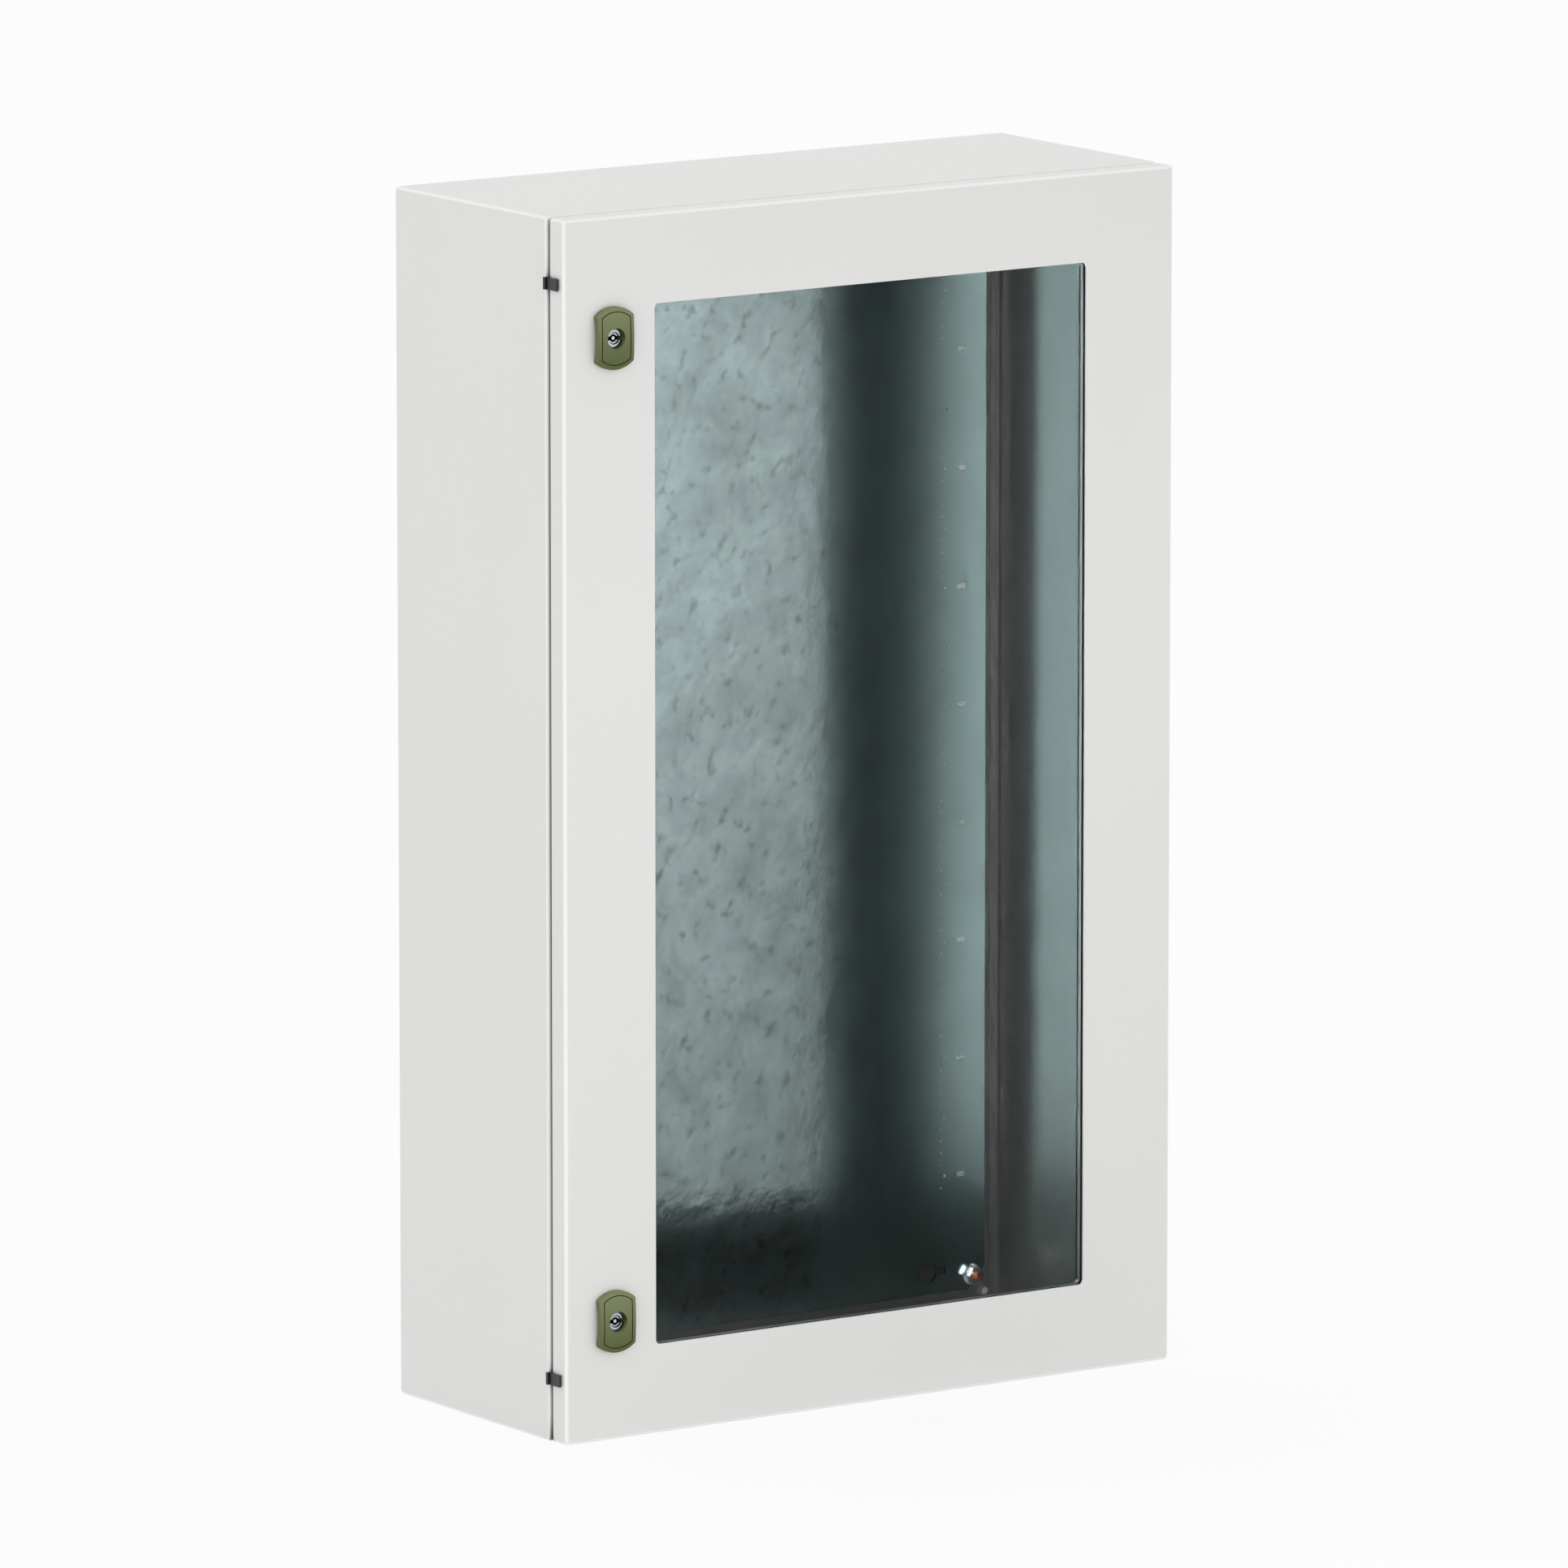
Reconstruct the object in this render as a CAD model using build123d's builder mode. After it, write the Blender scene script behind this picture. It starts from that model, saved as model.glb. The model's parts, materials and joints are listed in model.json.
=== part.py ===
"""Wall-mounting sheet-steel enclosure with a glazed door, made piece by piece in millimetres.

Frame: X runs right as one faces the door, Y runs towards the wall and Z runs up. The origin is the
middle of the four wall holes, on the wall face. A depth counted from the wall into the room is
called "out" here, so a plane at that depth lies at Y = -out.
"""

import os

from build123d import *

os.makedirs("parts", exist_ok=True)

# Body
width = 600.0
height = 1000.0
depth = 250.0  # wall face to door face
body_sheet = 1.5
body_bend = 3.0  # outer radius of each fold
rear_bend = 5.8  # outer radius of the folds at the wall
rim_width = 26.0  # front flange, side face to sealing lip
rim_corner = 4.0
rear_flange = 10.0  # wrapper folded in behind, side face to its edge

# Door
door_inset = 0.5  # door smaller than the body, each side
door_depth = 19.0
door_gap = 5.0  # door return to body rim
door_sheet = 1.5
door_bend = 3.0
window_side = 88.0  # body side face to window edge
window_end = 74.0  # body top or bottom face to window edge
window_corner = 4.0

# Glazing
seal_thickness = 3.0
glass_thickness = 4.0
glass_overlap = 15.0  # glass behind the door sheet, each side
frame_sheet = 1.5
frame_foot = 8.5  # frame foot on the door sheet
frame_clearance = 1.0  # glass edge to frame
frame_stud_radius = 2.0
frame_stud_length = 11.0
frame_nut_flat = 7.0
frame_nut_height = 3.2

# Door gasket
gasket_width = 11.5
gasket_thickness = 10.0
gasket_corner = 9.0
gasket_bead = 4.5  # rounding of its free edges
gasket_clearance = 0.3

# Hinges, on the right
hinge_end = 53.0  # body top or bottom face to hinge middle
hinge_inset = 8.5  # door side face to hinge axis
hinge_behind = 10.0  # door face to hinge axis
hinge_pin_radius = 2.5
hinge_running = 0.06  # pin in its bores
hinge_eye_radius = 5.0
hinge_arm_height = 7.0
hinge_arm_back = 3.0  # arm stays this far left of the axis
hinge_foot_width = 8.3
hinge_foot_height = 34.0
hinge_foot_thickness = 3.0
hinge_foot_clearance = 1.2  # foot to sealing lip
hinge_ear_thickness = 3.0
hinge_ear_clearance = 0.3  # ear to arm
hinge_leaf_thickness = 2.5
hinge_leaf_height = 52.0
hinge_leaf_clearance = 0.3  # leaf to the fold of the door return
hinge_gasket_clearance = 1.5  # leaf to door gasket
hinge_head_radius = 4.0
hinge_head_height = 2.0
hinge_pin_tail = 2.0
arm_screw_radius = 2.0
arm_screw_head = 3.6
arm_screw_pitch = 24.0
arm_screw_length = 10.0
leaf_stud_radius = 2.5
leaf_stud_pitch = 36.0
leaf_stud_length = 10.0
leaf_nut_flat = 8.0
leaf_nut_height = 4.0

# Hinge notches in both door returns, and the plugs in the unused left ones
notch_height = 8.4
notch_depth = 12.0
plug_clearance = 0.2
plug_leaf_height = 10.0
plug_leaf_length = 14.5
plug_leaf_thickness = 1.6
plug_step = 1.0  # shoulder between leaf and door
plug_step_inset = 0.7
plug_rib_length = 2.6
plug_rib_rise = 1.8
plug_rib_gap = 1.0  # rib to body rim
plug_barb = 1.2

# Locks, on the left
lock_side = 47.0  # body side face to lock axis
lock_end = 98.5  # body top or bottom face to lock axis
cover_width = 35.0
cover_height = 51.0
cover_rise = 7.0  # middle of the cover in front of the door
cover_dome = 1.5  # drop of the domed front from its middle to its ends
cover_corner = 1.5
cover_edge = 1.3
cover_arch = 3.3  # gap under the middle of each side
cover_arch_span = 38.0
cover_boss_radius = 13.0
groove_inset = 3.5
groove_width = 0.8
groove_depth = 1.0
cover_hole_radius = 8.5
tube_radius = 10.0
tube_wall_rear = 4.0
tube_hole_clearance = 0.3
lock_nut_flat = 24.0
lock_nut_height = 5.0
barrel_radius = 7.9
barrel_running = 0.08
barrel_recess = 4.2  # barrel face behind the middle of the cover
barrel_step_radius = 5.3
barrel_step_depth = 1.2
key_radius = 3.2
key_depth = 9.0
key_pin_radius = 1.4
key_slot = 3.3
journal_radius = 5.0
tang_width = 7.0
tang_clearance = 0.1
cam_reach = 30.0
cam_width = 16.0
cam_hub_radius = 10.0
cam_thickness = 3.0
cam_rim_clearance = 1.0  # cam behind the rim when turned in
cam_tube_clearance = 0.4
cam_screw_radius = 2.5
cam_screw_length = 9.0
cam_head_radius = 5.0
cam_head_height = 3.0

# Wall holes with their bushes
wall_hole_side = 16.0  # body side face to hole
wall_hole_end = 18.0  # body top or bottom face to hole
bush_radius = 4.0
bush_bore_radius = 3.25
bush_fit = 0.05
bush_rise = 3.8
bush_collar_radius = 5.2
bush_collar_height = 1.0

# Mounting plate
plate_side_gap = 27.5  # body side face to plate edge
plate_end_gap = 25.0  # body top or bottom face to plate edge
plate_thickness = 2.0
plate_out = 22.0  # wall face to plate front
plate_corner_cut = 17.0
plate_corner_round = 6.0
plate_edge = 0.8  # rounding of its front edges
plate_stud_side = 13.5  # plate side edge to stud
plate_stud_end = 13.0  # plate end edge to stud
plate_stud_radius = 4.0
plate_stud_reach = 12.0  # stud in front of the plate
plate_hole_radius = 4.5
standoff_radius = 7.0
keyhole_side = 58.0  # plate side edge to keyhole round
keyhole_end = 19.5  # plate end edge to keyhole
keyhole_radius = 9.0
keyhole_slot = 6.5
keyhole_reach = 17.5
flange_nut_flat = 13.0
flange_nut_height = 8.0
flange_nut_radius = 8.9
flange_nut_rim = 1.2
nut_clearance = 0.1  # every nut bore on its stud

# Cable entry in the bottom
gland_length = 420.0
gland_width = 130.0
gland_corner = 12.0
gland_overlap = 20.0
gland_gasket_thickness = 2.0
gland_sheet = 1.5
gland_stud_radius = 3.0
gland_stud_length = 16.0
gland_stud_clearance = 0.4
gland_nut_flat = 10.0
gland_nut_height = 5.0

# Earth studs
earth_stud_radius = 3.0
earth_stud_length = 16.0
earth_nut_flat = 10.0
earth_nut_height = 5.0
body_earth_out = 70.0
body_earth_end = 70.0
door_earth_end = 120.0

# Derived places
half_width = width / 2
half_height = height / 2
body_depth = depth - door_depth - door_gap
rim_rear = body_depth - body_sheet
door_rear = depth - door_depth
door_inner = depth - door_sheet
door_width = width - 2 * door_inset
door_height = height - 2 * door_inset
door_side = door_width / 2
lip_x = half_width - rim_width
lip_z = half_height - rim_width
lip_out = door_inner - gasket_thickness - gasket_clearance
gasket_x = lip_x - body_sheet / 2
gasket_z = lip_z - body_sheet / 2
window_width = width - 2 * window_side
window_height = height - 2 * window_end
glass_width = window_width + 2 * glass_overlap
glass_height = window_height + 2 * glass_overlap
glass_front = door_inner - seal_thickness
glass_rear = glass_front - glass_thickness
frame_wall_x = glass_width / 2 + frame_clearance
frame_wall_z = glass_height / 2 + frame_clearance
frame_edge_x = frame_wall_x + frame_sheet + frame_foot
frame_edge_z = frame_wall_z + frame_sheet + frame_foot
frame_stud_x = frame_edge_x - frame_foot / 2
frame_stud_z = frame_edge_z - frame_foot / 2
frame_corner = window_corner
frame_stud_points = []
for side in (-1, 1):
    for step in (-1.5, -0.5, 0.5, 1.5):
        frame_stud_points.append((side * frame_stud_x, step * window_height / 4))
    for step in (-0.5, 0.5):
        frame_stud_points.append((step * window_width / 2, side * frame_stud_z))

hinge_x = door_side - hinge_inset
hinge_out = depth - hinge_behind
hinge_y = -hinge_out
hinge_z = half_height - hinge_end
hinge_bore = hinge_pin_radius + hinge_running
ear_bottom = hinge_arm_height / 2 + hinge_ear_clearance
ear_top = ear_bottom + hinge_ear_thickness
foot_left = lip_x + hinge_foot_clearance
foot_x = foot_left + hinge_foot_width / 2
foot_right = foot_left + hinge_foot_width
foot_front = body_depth + hinge_foot_thickness
leaf_right = door_side - door_bend - hinge_leaf_clearance
leaf_left = gasket_x + gasket_width / 2 + hinge_gasket_clearance
leaf_width = leaf_right - leaf_left
leaf_x = (leaf_left + leaf_right) / 2
leaf_rear = door_inner - hinge_leaf_thickness
hinge_heights = {"upper": hinge_z, "lower": -hinge_z}
leaf_stud_points = [
    (leaf_x, level + side * leaf_stud_pitch / 2) for level in hinge_heights.values() for side in (-1, 1)
]

lock_x = lock_side - half_width
lock_z = half_height - lock_end
lock_heights = {"upper": lock_z, "lower": -lock_z}
cover_round = cover_height / 2
dome_radius = (cover_round**2 + cover_dome**2) / (2 * cover_dome)
dome_out = depth + cover_rise - dome_radius
arch_half = cover_arch_span / 2
arch_radius = (arch_half**2 + cover_arch**2) / (2 * cover_arch)
arch_out = depth + cover_arch - arch_radius
cam_front = rim_rear - cam_rim_clearance
cam_rear = cam_front - cam_thickness
tube_rear = cam_front + cam_tube_clearance
tube_floor = tube_rear + tube_wall_rear
tube_bore = barrel_radius + barrel_running
barrel_face = depth + cover_rise - barrel_recess
barrel_rear = tube_floor + 2 * barrel_running
tang_rear = cam_rear + tang_clearance

wall_pitch_x = width - 2 * wall_hole_side
wall_pitch_z = height - 2 * wall_hole_end
plate_width = width - 2 * plate_side_gap
plate_height = height - 2 * plate_end_gap
plate_rear = plate_out - plate_thickness
plate_stud_x = plate_width - 2 * plate_stud_side
plate_stud_z = plate_height - 2 * plate_stud_end
plate_stud_tip = plate_out + plate_stud_reach
keyhole_x = plate_width / 2 - keyhole_side
keyhole_z = plate_height / 2 - keyhole_end

gland_y = -body_depth / 2
gland_floor = -half_height + body_sheet
gland_seat = gland_floor + gland_gasket_thickness
gland_top = gland_seat + gland_sheet
gland_margin = gland_overlap / 2
gland_points = []
for side in (-1, 1):
    for step in (-1, 1):
        gland_points.append((side * (gland_length / 2 + gland_margin), gland_y + step * gland_width / 4))
        gland_points.append((step * gland_length / 4, gland_y + side * (gland_width / 2 + gland_margin)))

body_earth_z = -half_height + body_earth_end
door_earth_x = (frame_edge_x + gasket_x - gasket_width / 2) / 2
door_earth_z = -half_height + door_earth_end


def wall_plane(out, x=0.0, z=0.0):
    """Plane parallel to the wall, facing the room; sketch x is right and sketch y is up."""
    return Plane(origin=(x, -out, z), x_dir=(1, 0, 0), z_dir=(0, -1, 0))


def side_plane(x, out, z):
    """Plane parallel to the body sides, facing right; sketch x is towards the wall, sketch y is up."""
    return Plane(origin=(x, -out, z), x_dir=(0, 1, 0), z_dir=(1, 0, 0))


def save(builder, name):
    """Labels a finished piece and writes its file."""
    builder.part.label = name
    export_step(builder.part, f"parts/{name}.step")


# Body shell: a folded wrapper with a rim, a sealing lip and a rear flange that holds the back sheet
with BuildPart() as body_hollow:
    with BuildSketch(wall_plane(2 * body_sheet)):
        Rectangle(width - 2 * body_sheet, height - 2 * body_sheet)
    extrude(amount=rim_rear - 2 * body_sheet)
    fillet(body_hollow.edges().filter_by(Axis.Y), radius=body_bend - body_sheet)
    fillet(body_hollow.faces().sort_by(Axis.Y)[0].edges(), radius=body_bend - body_sheet)
    fillet(body_hollow.faces().sort_by(Axis.Y)[-1].edges(), radius=rear_bend - body_sheet)

with BuildPart() as body_shell:
    with BuildSketch(wall_plane(0)):
        Rectangle(width, height)
    extrude(amount=body_depth)
    fillet(body_shell.edges().filter_by(Axis.Y), radius=body_bend)
    fillet(body_shell.faces().sort_by(Axis.Y)[0].edges(), radius=body_bend)
    fillet(body_shell.faces().sort_by(Axis.Y)[-1].edges(), radius=rear_bend)
    add(body_hollow.part, mode=Mode.SUBTRACT)
    with BuildSketch(wall_plane(body_sheet)):
        Rectangle(width - 2 * rear_flange, height - 2 * rear_flange)
    extrude(amount=2 * body_sheet, mode=Mode.SUBTRACT)
    with BuildSketch(wall_plane(rim_rear - body_sheet)):
        RectangleRounded(2 * lip_x - 2 * body_sheet, 2 * lip_z - 2 * body_sheet, rim_corner)
    extrude(amount=3 * body_sheet, mode=Mode.SUBTRACT)
    with BuildSketch(wall_plane(rim_rear)):
        RectangleRounded(2 * lip_x, 2 * lip_z, rim_corner + body_sheet)
        RectangleRounded(2 * lip_x - 2 * body_sheet, 2 * lip_z - 2 * body_sheet, rim_corner, mode=Mode.SUBTRACT)
    extrude(amount=lip_out - rim_rear)
    with BuildSketch(wall_plane(0)):
        with GridLocations(wall_pitch_x, wall_pitch_z, 2, 2):
            Circle(bush_radius + bush_fit)
    extrude(amount=body_sheet, mode=Mode.SUBTRACT)
    with BuildSketch(Plane.XY.offset(-half_height)):
        with Locations((0, gland_y)):
            RectangleRounded(gland_length, gland_width, gland_corner)
    extrude(amount=body_sheet, mode=Mode.SUBTRACT)
    with BuildSketch(wall_plane(rim_rear)):
        for level in hinge_heights.values():
            with Locations((foot_x, level - arm_screw_pitch / 2), (foot_x, level + arm_screw_pitch / 2)):
                Circle(arm_screw_radius + nut_clearance)
    extrude(amount=body_sheet, mode=Mode.SUBTRACT)
save(body_shell, "body_shell")

# Hollow bushes in the wall holes, each with a collar inside the back sheet
with BuildPart() as wall_hole_bushes:
    with BuildSketch(wall_plane(0)):
        with GridLocations(wall_pitch_x, wall_pitch_z, 2, 2):
            Circle(bush_radius)
    extrude(amount=body_sheet + bush_rise)
    with BuildSketch(wall_plane(body_sheet)):
        with GridLocations(wall_pitch_x, wall_pitch_z, 2, 2):
            Circle(bush_collar_radius)
    extrude(amount=bush_collar_height)
    with BuildSketch(wall_plane(0)):
        with GridLocations(wall_pitch_x, wall_pitch_z, 2, 2):
            Circle(bush_bore_radius)
    extrude(amount=body_sheet + bush_rise, mode=Mode.SUBTRACT)
save(wall_hole_bushes, "wall_hole_bushes")

# Mounting plate with cut corners, stud holes and four keyholes
with BuildPart() as mounting_plate:
    with BuildSketch(wall_plane(plate_rear)) as plate_outline:
        Rectangle(plate_width, plate_height)
        chamfer(plate_outline.vertices(), length=plate_corner_cut)
        fillet(plate_outline.vertices(), radius=plate_corner_round)
        with GridLocations(plate_stud_x, plate_stud_z, 2, 2):
            Circle(plate_hole_radius, mode=Mode.SUBTRACT)
        with GridLocations(2 * keyhole_x, 2 * keyhole_z, 2, 2):
            Circle(keyhole_radius, mode=Mode.SUBTRACT)
        for side in (-1, 1):
            with GridLocations(0, 2 * keyhole_z, 1, 2):
                with Locations((side * (keyhole_x + keyhole_reach / 2), 0)):
                    Rectangle(keyhole_reach, keyhole_slot, mode=Mode.SUBTRACT)
    extrude(amount=plate_thickness)
    fillet(mounting_plate.faces().sort_by(Axis.Y)[0].outer_wire().edges(), radius=plate_edge)
save(mounting_plate, "mounting_plate")

# Weld studs that carry the plate
with BuildPart() as plate_studs:
    with BuildSketch(wall_plane(body_sheet)):
        with GridLocations(plate_stud_x, plate_stud_z, 2, 2):
            Circle(plate_stud_radius)
    extrude(amount=plate_stud_tip - body_sheet)
    chamfer(plate_studs.edges().group_by(Axis.Y)[0], length=plate_stud_radius / 5)
save(plate_studs, "plate_studs")

# Tube standoffs between the back sheet and the plate
with BuildPart() as plate_standoffs:
    with BuildSketch(wall_plane(body_sheet)):
        with GridLocations(plate_stud_x, plate_stud_z, 2, 2):
            Circle(standoff_radius)
            Circle(plate_hole_radius, mode=Mode.SUBTRACT)
    extrude(amount=plate_rear - body_sheet)
save(plate_standoffs, "plate_standoffs")

# Flange nuts on the plate
with BuildPart() as plate_nuts:
    with BuildSketch(wall_plane(plate_out)):
        with GridLocations(plate_stud_x, plate_stud_z, 2, 2):
            Circle(flange_nut_radius)
    extrude(amount=flange_nut_rim)
    with BuildSketch(wall_plane(plate_out + flange_nut_rim)):
        with GridLocations(plate_stud_x, plate_stud_z, 2, 2):
            Circle(flange_nut_radius)
    extrude(amount=flange_nut_rim, taper=60)
    with BuildSketch(wall_plane(plate_out + flange_nut_rim)):
        with GridLocations(plate_stud_x, plate_stud_z, 2, 2):
            RegularPolygon(flange_nut_flat / 2, 6, major_radius=False)
    extrude(amount=flange_nut_height - flange_nut_rim)
    with BuildSketch(wall_plane(plate_out)):
        with GridLocations(plate_stud_x, plate_stud_z, 2, 2):
            Circle(plate_stud_radius + nut_clearance)
    extrude(amount=flange_nut_height, mode=Mode.SUBTRACT)
save(plate_nuts, "plate_nuts")

# Gland gasket, gland plate, their studs and nuts, inside the bottom
with BuildPart() as gland_gasket:
    with BuildSketch(Plane.XY.offset(gland_floor)):
        with Locations((0, gland_y)):
            RectangleRounded(gland_length + 2 * gland_overlap, gland_width + 2 * gland_overlap, gland_corner)
            RectangleRounded(gland_length, gland_width, gland_corner, mode=Mode.SUBTRACT)
        with Locations(*gland_points):
            Circle(gland_stud_radius + gland_stud_clearance, mode=Mode.SUBTRACT)
    extrude(amount=gland_gasket_thickness)
save(gland_gasket, "gland_gasket")

with BuildPart() as gland_plate:
    with BuildSketch(Plane.XY.offset(gland_seat)):
        with Locations((0, gland_y)):
            RectangleRounded(gland_length + 2 * gland_overlap, gland_width + 2 * gland_overlap, gland_corner)
        with Locations(*gland_points):
            Circle(gland_stud_radius + gland_stud_clearance, mode=Mode.SUBTRACT)
    extrude(amount=gland_sheet)
save(gland_plate, "gland_plate")

with BuildPart() as gland_studs:
    with BuildSketch(Plane.XY.offset(gland_floor)):
        with Locations(*gland_points):
            Circle(gland_stud_radius)
    extrude(amount=gland_stud_length)
    chamfer(gland_studs.edges().group_by(Axis.Z)[-1], length=gland_stud_radius / 5)
save(gland_studs, "gland_studs")

with BuildPart() as gland_nuts:
    with BuildSketch(Plane.XY.offset(gland_top)):
        with Locations(*gland_points):
            RegularPolygon(gland_nut_flat / 2, 6, major_radius=False)
            Circle(gland_stud_radius + nut_clearance, mode=Mode.SUBTRACT)
    extrude(amount=gland_nut_height)
save(gland_nuts, "gland_nuts")

# Earth stud and nut on the left side wall of the body
body_earth_x = body_sheet - half_width
with BuildPart() as body_earth_stud:
    with BuildSketch(side_plane(body_earth_x, body_earth_out, body_earth_z)):
        Circle(earth_stud_radius)
    extrude(amount=earth_stud_length)
    chamfer(body_earth_stud.edges().group_by(Axis.X)[-1], length=earth_stud_radius / 5)
save(body_earth_stud, "body_earth_stud")

with BuildPart() as body_earth_nut:
    with BuildSketch(side_plane(body_earth_x, body_earth_out, body_earth_z)):
        RegularPolygon(earth_nut_flat / 2, 6, major_radius=False)
        Circle(earth_stud_radius + nut_clearance, mode=Mode.SUBTRACT)
    extrude(amount=earth_nut_height)
save(body_earth_nut, "body_earth_nut")

# Hinge arms: an eye on a bent arm that reaches out of the door notch, with a foot on the rim
for name, level in hinge_heights.items():
    with BuildPart() as hinge_arm:
        with BuildSketch(Plane.XY.offset(level - hinge_arm_height / 2)):
            with BuildLine():
                Polyline(
                    (hinge_x - hinge_arm_back, -body_depth),
                    (hinge_x - hinge_arm_back, hinge_y),
                    (hinge_x - hinge_eye_radius, hinge_y),
                    (foot_left + hinge_foot_thickness, -foot_front),
                    (foot_left, -foot_front),
                    (foot_left, -body_depth),
                    close=True,
                )
            make_face()
            with Locations((hinge_x, hinge_y)):
                Circle(hinge_eye_radius)
                Circle(hinge_bore, mode=Mode.SUBTRACT)
        extrude(amount=hinge_arm_height)
        with BuildSketch(wall_plane(body_depth, foot_x, level)):
            RectangleRounded(hinge_foot_width, hinge_foot_height, hinge_foot_width / 4)
        extrude(amount=hinge_foot_thickness)
        with Locations(wall_plane(foot_front, foot_x, level)):
            with GridLocations(0, arm_screw_pitch, 1, 2):
                CounterSinkHole(
                    arm_screw_radius + nut_clearance,
                    arm_screw_head + nut_clearance,
                    depth=hinge_foot_thickness,
                    counter_sink_angle=90,
                )
    save(hinge_arm, f"hinge_arm_{name}")

# Countersunk screws that hold the hinge arms to the rim
arm_screw_cone = arm_screw_head - arm_screw_radius
with BuildPart() as hinge_arm_screws:
    for level in hinge_heights.values():
        with BuildSketch(wall_plane(foot_front - arm_screw_length, foot_x, level)):
            with GridLocations(0, arm_screw_pitch, 1, 2):
                Circle(arm_screw_radius)
        extrude(amount=arm_screw_length)
        with BuildSketch(wall_plane(foot_front, foot_x, level)):
            with GridLocations(0, arm_screw_pitch, 1, 2):
                Circle(arm_screw_head)
        extrude(amount=-arm_screw_cone, taper=45)
save(hinge_arm_screws, "hinge_arm_screws")

# Hinge pins with a head above the upper ear
with BuildPart() as hinge_pins:
    for level in hinge_heights.values():
        with BuildSketch(Plane.XY.offset(level - ear_top - hinge_pin_tail)):
            with Locations((hinge_x, hinge_y)):
                Circle(hinge_pin_radius)
        extrude(amount=2 * ear_top + hinge_pin_tail)
        with BuildSketch(Plane.XY.offset(level + ear_top)):
            with Locations((hinge_x, hinge_y)):
                Circle(hinge_head_radius)
        extrude(amount=hinge_head_height)
save(hinge_pins, "hinge_pins")

# Door panel: a folded tray with the window, lock holes and four hinge notches
with BuildPart() as door_hollow:
    with BuildSketch(wall_plane(door_rear)):
        Rectangle(door_width - 2 * door_sheet, door_height - 2 * door_sheet)
    extrude(amount=door_depth - door_sheet)
    fillet(
        door_hollow.edges().group_by(Axis.Y)[0] + door_hollow.edges().filter_by(Axis.Y),
        radius=door_bend - door_sheet,
    )

with BuildPart() as door_panel:
    with BuildSketch(wall_plane(door_rear)):
        Rectangle(door_width, door_height)
    extrude(amount=door_depth)
    fillet(
        door_panel.edges().group_by(Axis.Y)[0] + door_panel.edges().filter_by(Axis.Y),
        radius=door_bend,
    )
    add(door_hollow.part, mode=Mode.SUBTRACT)
    with BuildSketch(wall_plane(door_inner)):
        RectangleRounded(window_width, window_height, window_corner)
        with Locations((lock_x, lock_z), (lock_x, -lock_z)):
            Circle(tube_radius + tube_hole_clearance)
    extrude(amount=door_sheet, mode=Mode.SUBTRACT)
    with BuildSketch(wall_plane(door_rear)):
        with GridLocations(2 * door_side, 2 * hinge_z, 2, 2):
            Rectangle(4 * door_sheet, notch_height)
    extrude(amount=notch_depth, mode=Mode.SUBTRACT)
save(door_panel, "door_panel")

# Black seal, glass and the pressed frame that holds both behind the window
with BuildPart() as window_seal:
    with BuildSketch(wall_plane(glass_front)):
        RectangleRounded(glass_width, glass_height, window_corner)
        RectangleRounded(window_width, window_height, window_corner, mode=Mode.SUBTRACT)
    extrude(amount=seal_thickness)
save(window_seal, "window_seal")

with BuildPart() as window_glass:
    with BuildSketch(wall_plane(glass_rear)):
        RectangleRounded(glass_width, glass_height, window_corner)
    extrude(amount=glass_thickness)
save(window_glass, "window_glass")

with BuildPart() as glass_frame:
    with BuildSketch(wall_plane(glass_rear - frame_sheet)):
        RectangleRounded(
            2 * (frame_wall_x + frame_sheet), 2 * (frame_wall_z + frame_sheet), frame_corner + frame_sheet
        )
        RectangleRounded(window_width, window_height, window_corner, mode=Mode.SUBTRACT)
    extrude(amount=frame_sheet)
    with BuildSketch(wall_plane(glass_rear)):
        RectangleRounded(
            2 * (frame_wall_x + frame_sheet), 2 * (frame_wall_z + frame_sheet), frame_corner + frame_sheet
        )
        RectangleRounded(2 * frame_wall_x, 2 * frame_wall_z, frame_corner, mode=Mode.SUBTRACT)
    extrude(amount=door_inner - glass_rear)
    with BuildSketch(wall_plane(door_inner - frame_sheet)):
        RectangleRounded(2 * frame_edge_x, 2 * frame_edge_z, frame_corner + frame_sheet)
        RectangleRounded(2 * frame_wall_x, 2 * frame_wall_z, frame_corner, mode=Mode.SUBTRACT)
        with Locations(*frame_stud_points):
            Circle(frame_stud_radius + nut_clearance, mode=Mode.SUBTRACT)
    extrude(amount=frame_sheet)
save(glass_frame, "glass_frame")

with BuildPart() as glass_frame_studs:
    with BuildSketch(wall_plane(door_inner)):
        with Locations(*frame_stud_points):
            Circle(frame_stud_radius)
    extrude(amount=-frame_stud_length)
save(glass_frame_studs, "glass_frame_studs")

with BuildPart() as glass_frame_nuts:
    with BuildSketch(wall_plane(door_inner - frame_sheet)):
        with Locations(*frame_stud_points):
            RegularPolygon(frame_nut_flat / 2, 6, major_radius=False)
            Circle(frame_stud_radius + nut_clearance, mode=Mode.SUBTRACT)
    extrude(amount=-frame_nut_height)
save(glass_frame_nuts, "glass_frame_nuts")

# Foamed gasket ring that closes on the sealing lip
with BuildPart() as door_gasket:
    with BuildSketch(wall_plane(door_inner)):
        RectangleRounded(2 * gasket_x + gasket_width, 2 * gasket_z + gasket_width, gasket_corner)
        RectangleRounded(
            2 * gasket_x - gasket_width, 2 * gasket_z - gasket_width, gasket_corner / 2, mode=Mode.SUBTRACT
        )
    extrude(amount=-gasket_thickness)
    fillet(door_gasket.faces().sort_by(Axis.Y)[-1].edges(), radius=gasket_bead)
save(door_gasket, "door_gasket")

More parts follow.
